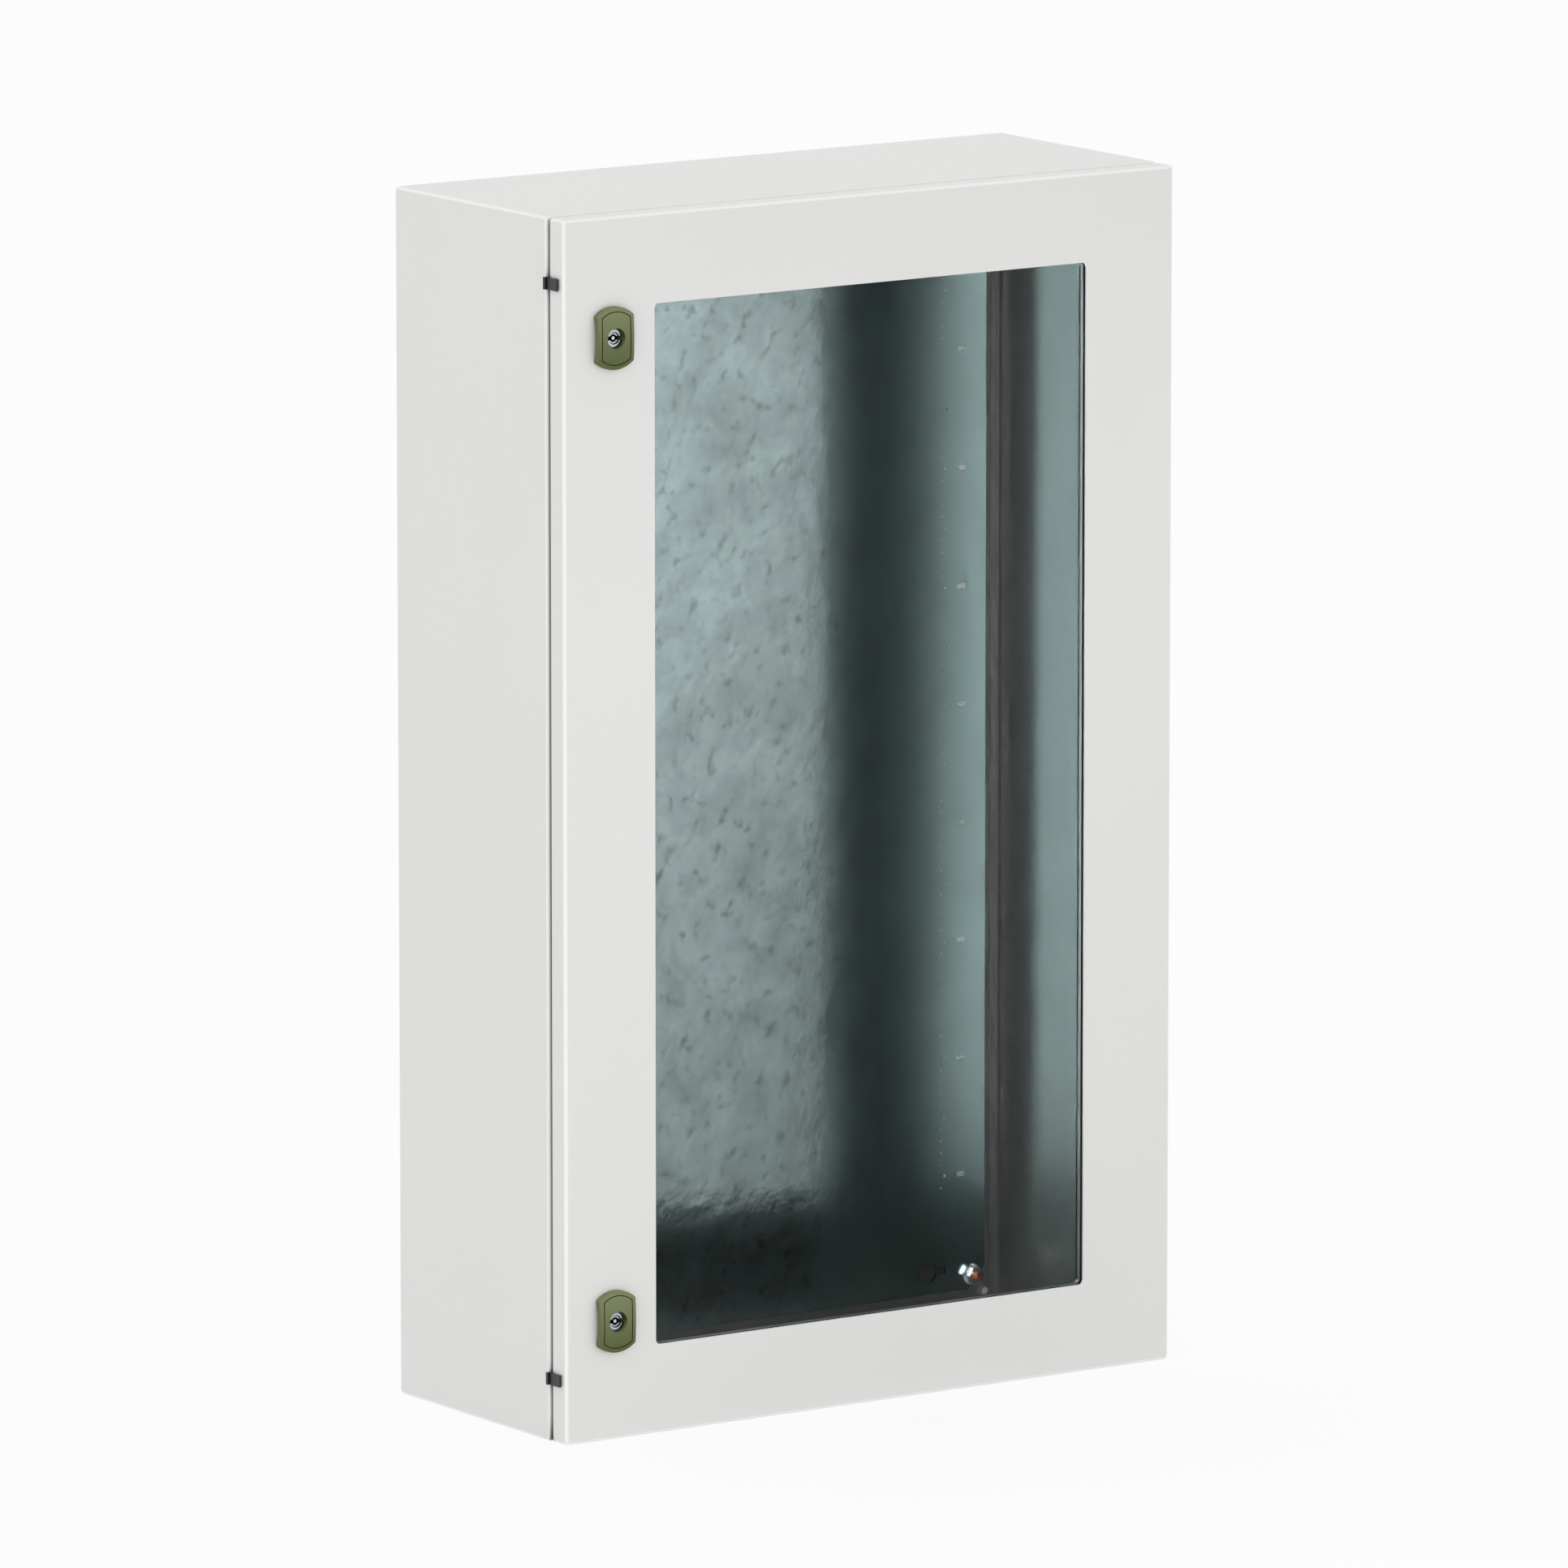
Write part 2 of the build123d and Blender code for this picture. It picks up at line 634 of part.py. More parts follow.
# Hinge leaves: a base on the door sheet with two ears round the arm's eye
for name, level in hinge_heights.items():
    with BuildPart() as hinge_leaf:
        with BuildSketch(wall_plane(leaf_rear, leaf_x, level)):
            RectangleRounded(leaf_width, hinge_leaf_height, leaf_width / 5)
            with GridLocations(0, leaf_stud_pitch, 1, 2):
                Circle(leaf_stud_radius + nut_clearance, mode=Mode.SUBTRACT)
        extrude(amount=hinge_leaf_thickness)
        for ear_level in (level + ear_bottom, level - ear_top):
            with BuildSketch(Plane.XY.offset(ear_level)):
                with Locations((hinge_x, hinge_y)):
                    Circle(hinge_eye_radius)
                    Rectangle(2 * hinge_eye_radius, hinge_behind - door_sheet, align=(Align.CENTER, Align.MAX))
                    Circle(hinge_bore, mode=Mode.SUBTRACT)
            extrude(amount=hinge_ear_thickness)
    save(hinge_leaf, f"hinge_leaf_{name}")

with BuildPart() as hinge_leaf_studs:
    with BuildSketch(wall_plane(door_inner)):
        with Locations(*leaf_stud_points):
            Circle(leaf_stud_radius)
    extrude(amount=-leaf_stud_length)
save(hinge_leaf_studs, "hinge_leaf_studs")

with BuildPart() as hinge_leaf_nuts:
    with BuildSketch(wall_plane(leaf_rear)):
        with Locations(*leaf_stud_points):
            RegularPolygon(leaf_nut_flat / 2, 6, major_radius=False)
            Circle(leaf_stud_radius + nut_clearance, mode=Mode.SUBTRACT)
    extrude(amount=-leaf_nut_height)
save(hinge_leaf_nuts, "hinge_leaf_nuts")

# Earth stud and nut on the door sheet, between frame and gasket
with BuildPart() as door_earth_stud:
    with BuildSketch(wall_plane(door_inner, door_earth_x, door_earth_z)):
        Circle(earth_stud_radius)
    extrude(amount=-earth_stud_length)
save(door_earth_stud, "door_earth_stud")

with BuildPart() as door_earth_nut:
    with BuildSketch(wall_plane(door_inner, door_earth_x, door_earth_z)):
        RegularPolygon(earth_nut_flat / 2, 6, major_radius=False)
        Circle(earth_stud_radius + nut_clearance, mode=Mode.SUBTRACT)
    extrude(amount=-earth_nut_height)
save(door_earth_nut, "door_earth_nut")

# Plugs in the left notches: core in the notch, barbs inside, leaf and rib outside
plug_core_height = notch_height - 2 * plug_clearance
plug_rear = body_depth + plug_rib_gap
plug_leaf_rear = plug_rear + plug_rib_length
plug_floor = door_rear + notch_depth - plug_clearance
plug_leaf_x = -door_side - plug_step
for name, level in hinge_heights.items():
    with BuildPart() as notch_plug:
        with BuildSketch(wall_plane(plug_leaf_rear, -door_side, level)):
            Rectangle(door_sheet + 2 * plug_barb, plug_core_height)
        extrude(amount=plug_floor - plug_leaf_rear)
        with BuildSketch(wall_plane(door_rear, door_sheet - door_side, level)):
            Rectangle(plug_barb, plug_leaf_height, align=(Align.MIN, Align.CENTER))
        extrude(amount=notch_depth / 2)
        with BuildSketch(wall_plane(plug_leaf_rear, -door_side, level)):
            Rectangle(plug_step, plug_leaf_height - 2 * plug_step_inset, align=(Align.MAX, Align.CENTER))
        extrude(amount=plug_leaf_length - 3 * plug_step_inset)
        with BuildSketch(wall_plane(plug_leaf_rear, plug_leaf_x, level)):
            Rectangle(plug_leaf_thickness, plug_leaf_height, align=(Align.MAX, Align.CENTER))
        extrude(amount=plug_leaf_length)
        with BuildSketch(wall_plane(plug_rear, -door_side, level)):
            Rectangle(
                plug_step + plug_leaf_thickness + plug_rib_rise,
                plug_leaf_height,
                align=(Align.MAX, Align.CENTER),
            )
        extrude(amount=plug_rib_length)
    save(notch_plug, f"notch_plug_{name}")

# Locks: moulded case with its domed cover, nut, key barrel, cam and cam screw
for name, level in lock_heights.items():
    with BuildPart() as groove_tool:
        with BuildSketch(wall_plane(depth, lock_x, level)):
            for inset, mode in ((groove_inset, Mode.ADD), (groove_inset + groove_width, Mode.SUBTRACT)):
                with BuildSketch(mode=Mode.PRIVATE) as ring_edge:
                    Circle(cover_round - inset)
                    Rectangle(cover_width - 2 * inset, cover_height, mode=Mode.INTERSECT)
                add(ring_edge.sketch, mode=mode)
        extrude(amount=2 * cover_rise)
        with BuildSketch(side_plane(lock_x, dome_out, level)):
            Circle(dome_radius - groove_depth)
        extrude(amount=cover_width, both=True, mode=Mode.SUBTRACT)

    with BuildPart() as lock_case:
        with BuildSketch(wall_plane(depth, lock_x, level)) as cover_outline:
            Circle(cover_round)
            Rectangle(cover_width, cover_height, mode=Mode.INTERSECT)
            fillet(cover_outline.vertices(), radius=cover_corner)
        extrude(amount=cover_rise)
        with BuildSketch(side_plane(lock_x, dome_out, level)):
            Circle(dome_radius)
        extrude(amount=cover_width, both=True, mode=Mode.INTERSECT)
        fillet(lock_case.faces().sort_by(Axis.Y)[0].edges(), radius=cover_edge)
        with BuildSketch(side_plane(lock_x, arch_out, level)):
            Circle(arch_radius)
        extrude(amount=cover_width, both=True, mode=Mode.SUBTRACT)
        add(groove_tool.part, mode=Mode.SUBTRACT)
        with BuildSketch(wall_plane(depth, lock_x, level)):
            Circle(cover_boss_radius)
        extrude(amount=cover_arch)
        with BuildSketch(wall_plane(tube_rear, lock_x, level)):
            Circle(tube_radius)
        extrude(amount=depth - tube_rear)
        with BuildSketch(wall_plane(barrel_face, lock_x, level)):
            Circle(cover_hole_radius)
        extrude(amount=2 * cover_rise, mode=Mode.SUBTRACT)
        with BuildSketch(wall_plane(tube_floor, lock_x, level)):
            Circle(tube_bore)
        extrude(amount=depth + cover_rise - tube_floor, mode=Mode.SUBTRACT)
        with BuildSketch(wall_plane(tube_rear, lock_x, level)):
            Circle(journal_radius + barrel_running)
        extrude(amount=tube_wall_rear, mode=Mode.SUBTRACT)
    save(lock_case, f"{name}_lock_case")

    with BuildPart() as lock_nut:
        with BuildSketch(wall_plane(door_inner, lock_x, level)):
            RegularPolygon(lock_nut_flat / 2, 6, major_radius=False)
            Circle(tube_radius + nut_clearance, mode=Mode.SUBTRACT)
        extrude(amount=-lock_nut_height)
    save(lock_nut, f"{name}_lock_nut")

    with BuildPart() as lock_barrel:
        with BuildSketch(wall_plane(barrel_rear, lock_x, level)):
            Circle(barrel_radius)
        extrude(amount=barrel_face - barrel_rear)
        with BuildSketch(wall_plane(barrel_face, lock_x, level)):
            Circle(barrel_step_radius)
        extrude(amount=-barrel_step_depth, mode=Mode.SUBTRACT)
        with BuildSketch(wall_plane(barrel_face, lock_x, level)):
            Circle(key_radius)
            Rectangle(3 * barrel_radius, key_slot)
        extrude(amount=-key_depth, mode=Mode.SUBTRACT)
        with BuildSketch(wall_plane(barrel_face - key_depth, lock_x, level)):
            Circle(key_pin_radius)
        extrude(amount=key_depth - barrel_step_depth)
        with BuildSketch(wall_plane(cam_front, lock_x, level)):
            Circle(journal_radius)
        extrude(amount=barrel_rear - cam_front)
        with BuildSketch(wall_plane(tang_rear, lock_x, level)):
            Rectangle(tang_width, tang_width)
        extrude(amount=cam_front - tang_rear)
        with BuildSketch(wall_plane(tang_rear, lock_x, level)):
            Circle(cam_screw_radius + nut_clearance)
        extrude(amount=cam_screw_length, mode=Mode.SUBTRACT)
    save(lock_barrel, f"{name}_lock_barrel")

    with BuildPart() as lock_cam:
        with BuildSketch(wall_plane(cam_rear, lock_x, level)) as cam_outline:
            Rectangle(cam_width, cam_reach, align=(Align.CENTER, Align.MAX))
            fillet(cam_outline.vertices().group_by(Axis.Y)[0], radius=cam_width / 4)
            Circle(cam_hub_radius)
            Rectangle(tang_width + 2 * tang_clearance, tang_width + 2 * tang_clearance, mode=Mode.SUBTRACT)
        extrude(amount=cam_thickness)
    save(lock_cam, f"{name}_lock_cam")

    with BuildPart() as cam_screw:
        with BuildSketch(wall_plane(cam_rear, lock_x, level)):
            RegularPolygon(cam_head_radius, 6)
        extrude(amount=-cam_head_height)
        with BuildSketch(wall_plane(cam_rear, lock_x, level)):
            Circle(cam_head_radius + cam_screw_radius / 2)
        extrude(amount=-cam_head_height / 4)
        with BuildSketch(wall_plane(cam_rear, lock_x, level)):
            Circle(cam_screw_radius)
        extrude(amount=cam_screw_length - cam_thickness / 2)
    save(cam_screw, f"{name}_cam_screw")
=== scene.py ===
"""Looks of a wall-mounting steel enclosure with a glazed door.

Finishes, threads, ruler marks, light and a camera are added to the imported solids. Lengths are metres in the
part's own frame: X right as one faces the door, Y into the wall, Z up.
"""

import json
import math

import bmesh
import bpy
from mathutils import Matrix, Vector


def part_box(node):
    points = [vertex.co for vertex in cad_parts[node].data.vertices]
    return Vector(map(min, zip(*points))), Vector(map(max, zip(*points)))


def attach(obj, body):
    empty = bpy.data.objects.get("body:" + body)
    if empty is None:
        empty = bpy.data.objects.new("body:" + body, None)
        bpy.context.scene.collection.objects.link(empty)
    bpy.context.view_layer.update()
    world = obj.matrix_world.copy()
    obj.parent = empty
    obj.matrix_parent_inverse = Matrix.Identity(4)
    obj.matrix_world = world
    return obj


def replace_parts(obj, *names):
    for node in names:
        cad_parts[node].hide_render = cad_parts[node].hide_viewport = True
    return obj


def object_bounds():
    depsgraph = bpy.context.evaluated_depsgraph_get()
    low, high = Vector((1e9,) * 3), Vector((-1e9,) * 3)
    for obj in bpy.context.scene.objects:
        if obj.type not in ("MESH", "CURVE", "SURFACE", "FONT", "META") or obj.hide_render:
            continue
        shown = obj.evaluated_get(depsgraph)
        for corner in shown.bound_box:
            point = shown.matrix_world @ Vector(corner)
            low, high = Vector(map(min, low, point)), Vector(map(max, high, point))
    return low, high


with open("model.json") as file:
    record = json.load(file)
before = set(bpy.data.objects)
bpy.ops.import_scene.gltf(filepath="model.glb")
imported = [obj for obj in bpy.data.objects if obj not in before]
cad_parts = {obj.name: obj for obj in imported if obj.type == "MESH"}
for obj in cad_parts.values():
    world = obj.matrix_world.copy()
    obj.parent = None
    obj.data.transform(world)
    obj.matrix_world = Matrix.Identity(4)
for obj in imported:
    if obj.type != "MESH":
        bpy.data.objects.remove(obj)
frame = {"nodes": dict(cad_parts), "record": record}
cad_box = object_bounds()
nodes = frame["nodes"]
mm = 0.001
upright = Vector((0.0, 0.0, 1.0))

# Camera: a long lens in front, left of the door and a little above it
view_turn = 0.5970  # radians left of straight on
view_tilt = 0.1728  # radians above the horizon
view_distance = 12.36556
view_centre = Vector((0.0, -0.125, 0.0))
view_right = 1.355 * mm  # box centre beside the middle of the picture
view_up = 3.570 * mm
camera_lens = 346.04  # millimetres
camera_sensor = 36.0
camera_reach = 100.0  # metres

# Light
dome_level = 1.04
dome_top = 0.71  # dome overhead, against its level
dome_floor = 1.29  # dome underfoot, against its level
dome_left = 0.09  # more light from the left, less from the right
fill_level = 0.75  # radiance of a low soft lamp in front of the door
fill_size = (1.20, 0.50)
fill_place = (-0.45, -1.45, 0.30)  # height is above the floor
lamp_spread = 4  # an area lamp's radiance is its energy over four times its area
# Soft boxes that only shine in reflections: turn right of straight on, distance, width, bottom and top above
# the floor, radiance at the bottom and at the top, and the least number of reflections and of faces of the
# pane between eye and box. Light that goes in and out through the closed door passes four faces.
soft_boxes = {
    "left_box": {
        "turn": -0.4500, "distance": 0.50, "width": 0.74, "bottom": 0.00, "top": 1.00,
        "low_level": 13.8, "high_level": 13.8, "reflections": 2, "pane_faces": 4,
    },
    # Where the door mirrors the camera
    "right_box": {
        "turn": view_turn, "distance": 1.35, "width": 1.00, "bottom": 0.00, "top": 0.70,
        "low_level": 0.0, "high_level": 0.4, "reflections": 1, "pane_faces": 0,
    },
}
half_count = 0.5  # whole counts are compared half way between two of them
floor_size = 30.0
floor_shadow = 0.12  # share of the floor's own shading that the camera sees

# Ruler raised on the front of the mounting plate
ruler_fine_x = 227.3 * mm
ruler_coarse_x = 231.0 * mm
ruler_number_x = 243.0 * mm
ruler_first = 90  # millimetres above the plate's lower edge
ruler_last = 860
ruler_fine_step = 10
ruler_coarse_step = 50
ruler_number_step = 100
ruler_fine_radius = 0.8 * mm
ruler_coarse_radius = 1.2 * mm
ruler_dot_rise = 0.8  # against the radius
ruler_dot_sides = 12
ruler_number_height = 5.6 * mm
ruler_number_bevel = 0.35 * mm

# Bow of the mounting plate, steepest half way between these distances from its middle
plate_bow_from = 10 * mm
plate_bow_to = 190 * mm
plate_bow = 0.078  # slope at its steepest
bow_steepness = 1.875  # steepest slope of a smoother step that rises by 1 over a length of 1

# Painted shade on the mounting plate: heights between which its foot is drawn darker, then distances right of
# its middle between which it goes darker
foot_shade_full = -450 * mm
foot_shade_gone = 50 * mm
shine_full = -60 * mm
shine_gone = 90 * mm
border_from = 105 * mm  # from clouded zinc to clean zinc
border_to = 190 * mm
border_wander = 60 * mm  # how far the clouds can push that border
frozen_from = 150 * mm  # roughest up to here, on both sides of the middle
frozen_to = 230 * mm
cloud_slant = 0.5  # radians
cloud_stretch = 1.3
cloud_thin = 0.30  # noise values where a cloud is faint and where it is full
cloud_thick = 0.70

# Pale edging of the pane, a ring that lines the window behind the black seal
edging_thickness = 0.4 * mm
edging_steps = 8  # around each corner
window_side = 212.0 * mm  # middle of the door to the window's edge
window_end = 426.0 * mm
window_corner = 4.0 * mm

# Painted shade in the seam between the body's rim and the door's return
seam_width = 5.0 * mm
seam_core = 0.55  # darkest within this distance of its middle, against its width
seam_fade = 0.85  # not dark beyond this one
seam_reach = 25 * mm  # how far around counts as sheltered
seam_sky = (0.35, 0.80)  # shares of open sky at which the painted shade is full and gone

# Painted highlight on folds, by the largest part of a face's direction along one of the part's axes
fold_highlight_begins = 0.995
fold_highlight_full = 0.940

# Painted shade in recesses and grooves
recess_samples = 8  # rays from a point that look for open sky
copper_reach = 0.8 * mm
copper_sky = (0.40, 0.80)
nickel_reach = 3.0 * mm
nickel_sky = (0.70, 0.97)
groove_reach = 1.6 * mm
groove_sky = (0.45, 0.85)

# Other finishes
top_light_lean = 0.09  # painted top light: full on faces that lean up by this or more, none on those that lean down by it
plating_spread = 0.08  # roughness to either side of its middle value
moulding_spread = 0.06
light_through = 0.70  # share of light that thin plastic takes from behind

# Coarse threads: pitches by the stud's diameter in millimetres
thread_pitches = {4: 0.70 * mm, 5: 0.80 * mm, 6: 1.00 * mm, 8: 1.25 * mm}
thread_depth = 0.61  # against the pitch
thread_steps = 24  # around one turn
stud_nodes = {
    "plate_studs": "body", "gland_studs": "body", "body_earth_stud": "body",
    "glass_frame_studs": "door", "hinge_leaf_studs": "door", "door_earth_stud": "door",
}

# Plugs in the wall holes
plug_radius = 4.7 * mm  # over the bore, on the end of its bush
plug_crown = 0.4 * mm
plug_ring = 0.6  # middle ring of its dome, against the radius
plug_steps = 32

# Numbers of the mix node's sockets, which share their names
number_a, number_b, mixed_number = 2, 3, 0
colour_a, colour_b, mixed_colour = 6, 7, 2

weld_distance = 0.001 * mm  # corners this near are one corner of a solid


def linear(hex_colour):
    """Linear colour with alpha from an sRGB hex value such as #DCDCDA."""
    values = [int(hex_colour[i : i + 2], 16) / 255 for i in (1, 3, 5)]
    return (*(v / 12.92 if v <= 0.04045 else ((v + 0.055) / 1.055) ** 2.4 for v in values), 1.0)


def per_mm(size):
    """Texture scale, in object metres, at which a pattern repeats about every size millimetres."""
    return 1 / (size * mm)


def add(tree, kind, wanted):
    """Adds a node; each wanted item sets a property or an input, or links an output to that input."""
    node = tree.nodes.new(kind)
    for name, value in wanted.items():
        if isinstance(value, bpy.types.NodeSocket):
            tree.links.new(value, node.inputs[name])
        elif isinstance(name, str) and hasattr(node, name):
            setattr(node, name, value)
        else:
            node.inputs[name].default_value = value
    return node


def begin(name):
    """A new material with an empty node tree, and the object coordinates its patterns use."""
    material = bpy.data.materials.new(name)
    material.use_nodes = True
    tree = material.node_tree
    tree.nodes.clear()
    place = add(tree, "ShaderNodeTexCoord", {}).outputs["Object"]
    return material, tree, place


def close(tree, shader):
    """Links the finished shader to the material's output."""
    add(tree, "ShaderNodeOutputMaterial", {"Surface": shader.outputs[0]})


def soiled_recesses(tree, colour, shade_tone, reach, sky):
    """Paints shade into grooves and recesses: blends a colour to a darker one where open sky is hidden.

    It is full at the first share of open sky within the reach, and gone at the second.
    """
    sheltered = add(tree, "ShaderNodeAmbientOcclusion", {"samples": recess_samples, "Distance": reach})
    unshaded = add(tree, "ShaderNodeMapRange", {
        "Value": sheltered.outputs["AO"], "From Min": sky[0], "From Max": sky[1],
    })
    return add(tree, "ShaderNodeMix", {
        "data_type": "RGBA", "Factor": unshaded.outputs["Result"],
        colour_a: linear(shade_tone), colour_b: colour.outputs[mixed_colour],
    })


def light_grey_powder_coat():
    """Polyester powder coat, sprayed and baked on steel: even light grey, satin, with a faint orange peel."""
    material, tree, place = begin("light_grey_powder_coat")
    # Peel is about 2 mm across and a few microns high; drawn 4 mm wide here so that it survives the render
    peel = add(tree, "ShaderNodeTexNoise", {"Vector": place, "Scale": per_mm(4), "Detail": 2.0})
    drift = add(tree, "ShaderNodeTexNoise", {"Vector": place, "Scale": per_mm(180), "Detail": 2.0})
    colour = add(tree, "ShaderNodeMix", {
        "data_type": "RGBA", "Factor": drift.outputs["Fac"],
        colour_a: linear("#E2E2E0"), colour_b: linear("#E5E5E3"),
    })
    # Painted highlight on the folds, which come out lighter: they face between the part's own axes
    facing = add(tree, "ShaderNodeTexCoord", {}).outputs["Normal"]
    facing = add(tree, "ShaderNodeVectorMath", {"operation": "ABSOLUTE", 0: facing})
    facing = add(tree, "ShaderNodeSeparateXYZ", {"Vector": facing.outputs["Vector"]})
    squarest = add(tree, "ShaderNodeMath", {
        "operation": "MAXIMUM", 0: facing.outputs["X"], 1: facing.outputs["Y"],
    })
    squarest = add(tree, "ShaderNodeMath", {
        "operation": "MAXIMUM", 0: squarest.outputs[0], 1: facing.outputs["Z"],
    })
    fold_highlight = add(tree, "ShaderNodeMapRange", {
        "Value": squarest.outputs[0], "From Min": fold_highlight_begins, "From Max": fold_highlight_full,
    })
    colour = add(tree, "ShaderNodeMix", {
        "data_type": "RGBA", "Factor": fold_highlight.outputs["Result"],
        colour_a: colour.outputs[mixed_colour], colour_b: linear("#F8F8F6"),
    })
    # Painted shade in the seam behind the door's return, which darkens what the shut door shelters
    seam_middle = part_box("door_panel")[1].y + seam_width / 2
    level = add(tree, "ShaderNodeSeparateXYZ", {"Vector": place}).outputs["Y"]
    off_seam = add(tree, "ShaderNodeMath", {"operation": "SUBTRACT", 0: level, 1: seam_middle})
    off_seam = add(tree, "ShaderNodeMath", {"operation": "ABSOLUTE", 0: off_seam.outputs[0]})
    in_seam = add(tree, "ShaderNodeMapRange", {
        "Value": off_seam.outputs[0],
        "From Min": seam_fade * seam_width, "From Max": seam_core * seam_width,
    })
    seam_shade = soiled_recesses(tree, colour, "#30302F", seam_reach, seam_sky)
    colour = add(tree, "ShaderNodeMix", {
        "data_type": "RGBA", "Factor": in_seam.outputs["Result"],
        colour_a: colour.outputs[mixed_colour], colour_b: seam_shade.outputs[mixed_colour],
    })
    rough = add(tree, "ShaderNodeMapRange", {"Value": peel.outputs["Fac"], "To Min": 0.28, "To Max": 0.32})
    bump = add(tree, "ShaderNodeBump", {
        "Height": peel.outputs["Fac"], "Distance": 0.006 * mm, "Strength": 1.0,
    })
    shader = add(tree, "ShaderNodeBsdfPrincipled", {
        "Base Color": colour.outputs[mixed_colour], "Roughness": rough.outputs["Result"],
        "Normal": bump.outputs["Normal"], "IOR": 1.7,
    })
    close(tree, shader)
    return material


def galvanised_sheet():
    """Hot-dip zinc on steel sheet: blue-grey, half bright, clouded and bruised but for its right edge."""
    material, tree, place = begin("galvanised_sheet")
    across = add(tree, "ShaderNodeSeparateXYZ", {"Vector": place})
    away = add(tree, "ShaderNodeMath", {"operation": "ABSOLUTE", 0: across.outputs["X"]}).outputs[0]
    # The sheet was drawn off on the slant, which stretches its clouds
    slant = add(tree, "ShaderNodeMapping", {
        "vector_type": "TEXTURE", "Vector": place,
        "Rotation": (0.0, cloud_slant, 0.0), "Scale": (1.0, 1.0, cloud_stretch),
    }).outputs["Vector"]
    # Clouds 20 to 40 mm wide, finer drifts in them, and a bruise of 4 to 8 mm every few centimetres
    cloud = add(tree, "ShaderNodeTexNoise", {
        "Vector": slant, "Scale": per_mm(36), "Detail": 5.0, "Roughness": 0.62, "Distortion": 0.4,
    }).outputs["Fac"]
    bruise = add(tree, "ShaderNodeTexNoise", {
        "Vector": slant, "Scale": per_mm(11), "Detail": 2.0, "Roughness": 0.5, "Distortion": 0.2,
    }).outputs["Fac"]
    cloud_tone = add(tree, "ShaderNodeMapRange", {
        "Value": cloud, "From Min": cloud_thin, "From Max": cloud_thick,
        "To Min": 0.76, "To Max": 1.14, "clamp": False,
    })
    bruise_tone = add(tree, "ShaderNodeMapRange", {
        "interpolation_type": "SMOOTHSTEP", "Value": bruise,
        "From Min": 0.20, "From Max": 0.47, "To Min": 0.58, "To Max": 1.0,
    })
    # Painted shade in its mirror image: darker towards the foot and towards the right
    foot_shade = add(tree, "ShaderNodeMapRange", {
        "Value": across.outputs["Z"], "From Min": foot_shade_full, "From Max": foot_shade_gone,
        "To Min": 0.74, "To Max": 1.0,
    })
    right_shade = add(tree, "ShaderNodeMapRange", {
        "Value": across.outputs["X"], "From Min": shine_full, "From Max": shine_gone,
        "To Min": 1.08, "To Max": 0.84,
    })
    tone = cloud_tone.outputs["Result"]
    for factor in (bruise_tone, foot_shade, right_shade):
        tone = add(tree, "ShaderNodeMath", {
            "operation": "MULTIPLY", 0: tone, 1: factor.outputs["Result"],
        }).outputs[0]
    clouded = add(tree, "ShaderNodeVectorMath", {
        "operation": "SCALE", 0: linear("#9AABAB")[:3], "Scale": tone,
    })
    # Towards the right edge, which cooled faster, the zinc is cleaner and greener, with faint clouds
    faint_tone = add(tree, "ShaderNodeMapRange", {
        "Value": cloud, "From Min": cloud_thin, "From Max": cloud_thick,
        "To Min": 0.95, "To Max": 1.05, "clamp": False,
    })
    clean = add(tree, "ShaderNodeVectorMath", {
        "operation": "SCALE", 0: linear("#829797")[:3], "Scale": faint_tone.outputs["Result"],
    })
    # The border between the two wanders with the clouds
    wander = add(tree, "ShaderNodeMath", {
        "operation": "MULTIPLY_ADD", 0: cloud, 1: border_wander, 2: across.outputs["X"],
    })
    clouded_share = add(tree, "ShaderNodeMapRange", {
        "interpolation_type": "SMOOTHSTEP", "Value": wander.outputs[0],
        "From Min": border_from, "From Max": border_to, "To Min": 1.0, "To Max": 0.0,
    }).outputs["Result"]
    colour = add(tree, "ShaderNodeMix", {
        "data_type": "RGBA", "Factor": clouded_share,
        colour_a: clean.outputs[0], colour_b: clouded.outputs[0],
    })
    # Rougher beside the clouds, where the zinc froze first
    rough = add(tree, "ShaderNodeMapRange", {"Value": cloud, "To Min": 0.20, "To Max": 0.14})
    frozen = add(tree, "ShaderNodeMapRange", {
        "interpolation_type": "SMOOTHSTEP", "Value": away,
        "From Min": frozen_from, "From Max": frozen_to, "To Min": 0.26, "To Max": 0.17,
    })
    rough = add(tree, "ShaderNodeMix", {
        "data_type": "FLOAT", "Factor": clouded_share,
        number_a: frozen.outputs["Result"], number_b: rough.outputs["Result"],
    })
    # The sheet is bowed: between its middle and its edges it leans a few degrees and turns its mirror image
    bow = add(tree, "ShaderNodeMapRange", {
        "interpolation_type": "SMOOTHERSTEP", "Value": away,
        "From Min": plate_bow_from, "From Max": plate_bow_to,
    })
    bow_rise = plate_bow * (plate_bow_to - plate_bow_from) / bow_steepness
    bowed = add(tree, "ShaderNodeBump", {
        "Height": bow.outputs["Result"], "Distance": bow_rise, "Strength": 1.0,
    })
    # The clouded part is rippled as well
    ripple = add(tree, "ShaderNodeTexNoise", {"Vector": slant, "Scale": per_mm(26), "Detail": 3.0})
    ripple = add(tree, "ShaderNodeMath", {"operation": "SUBTRACT", 0: ripple.outputs["Fac"], 1: 0.5})
    ripple = add(tree, "ShaderNodeMath", {
        "operation": "MULTIPLY", 0: ripple.outputs[0], 1: clouded_share,
    })
    bump = add(tree, "ShaderNodeBump", {
        "Height": ripple.outputs[0], "Distance": 0.62 * mm, "Strength": 1.0,
        "Normal": bowed.outputs["Normal"],
    })
    shader = add(tree, "ShaderNodeBsdfPrincipled", {
        "Base Color": colour.outputs[mixed_colour], "Metallic": 1.0, "Roughness": rough.outputs[mixed_number],
        "Normal": bump.outputs["Normal"],
    })
    close(tree, shader)
    return material


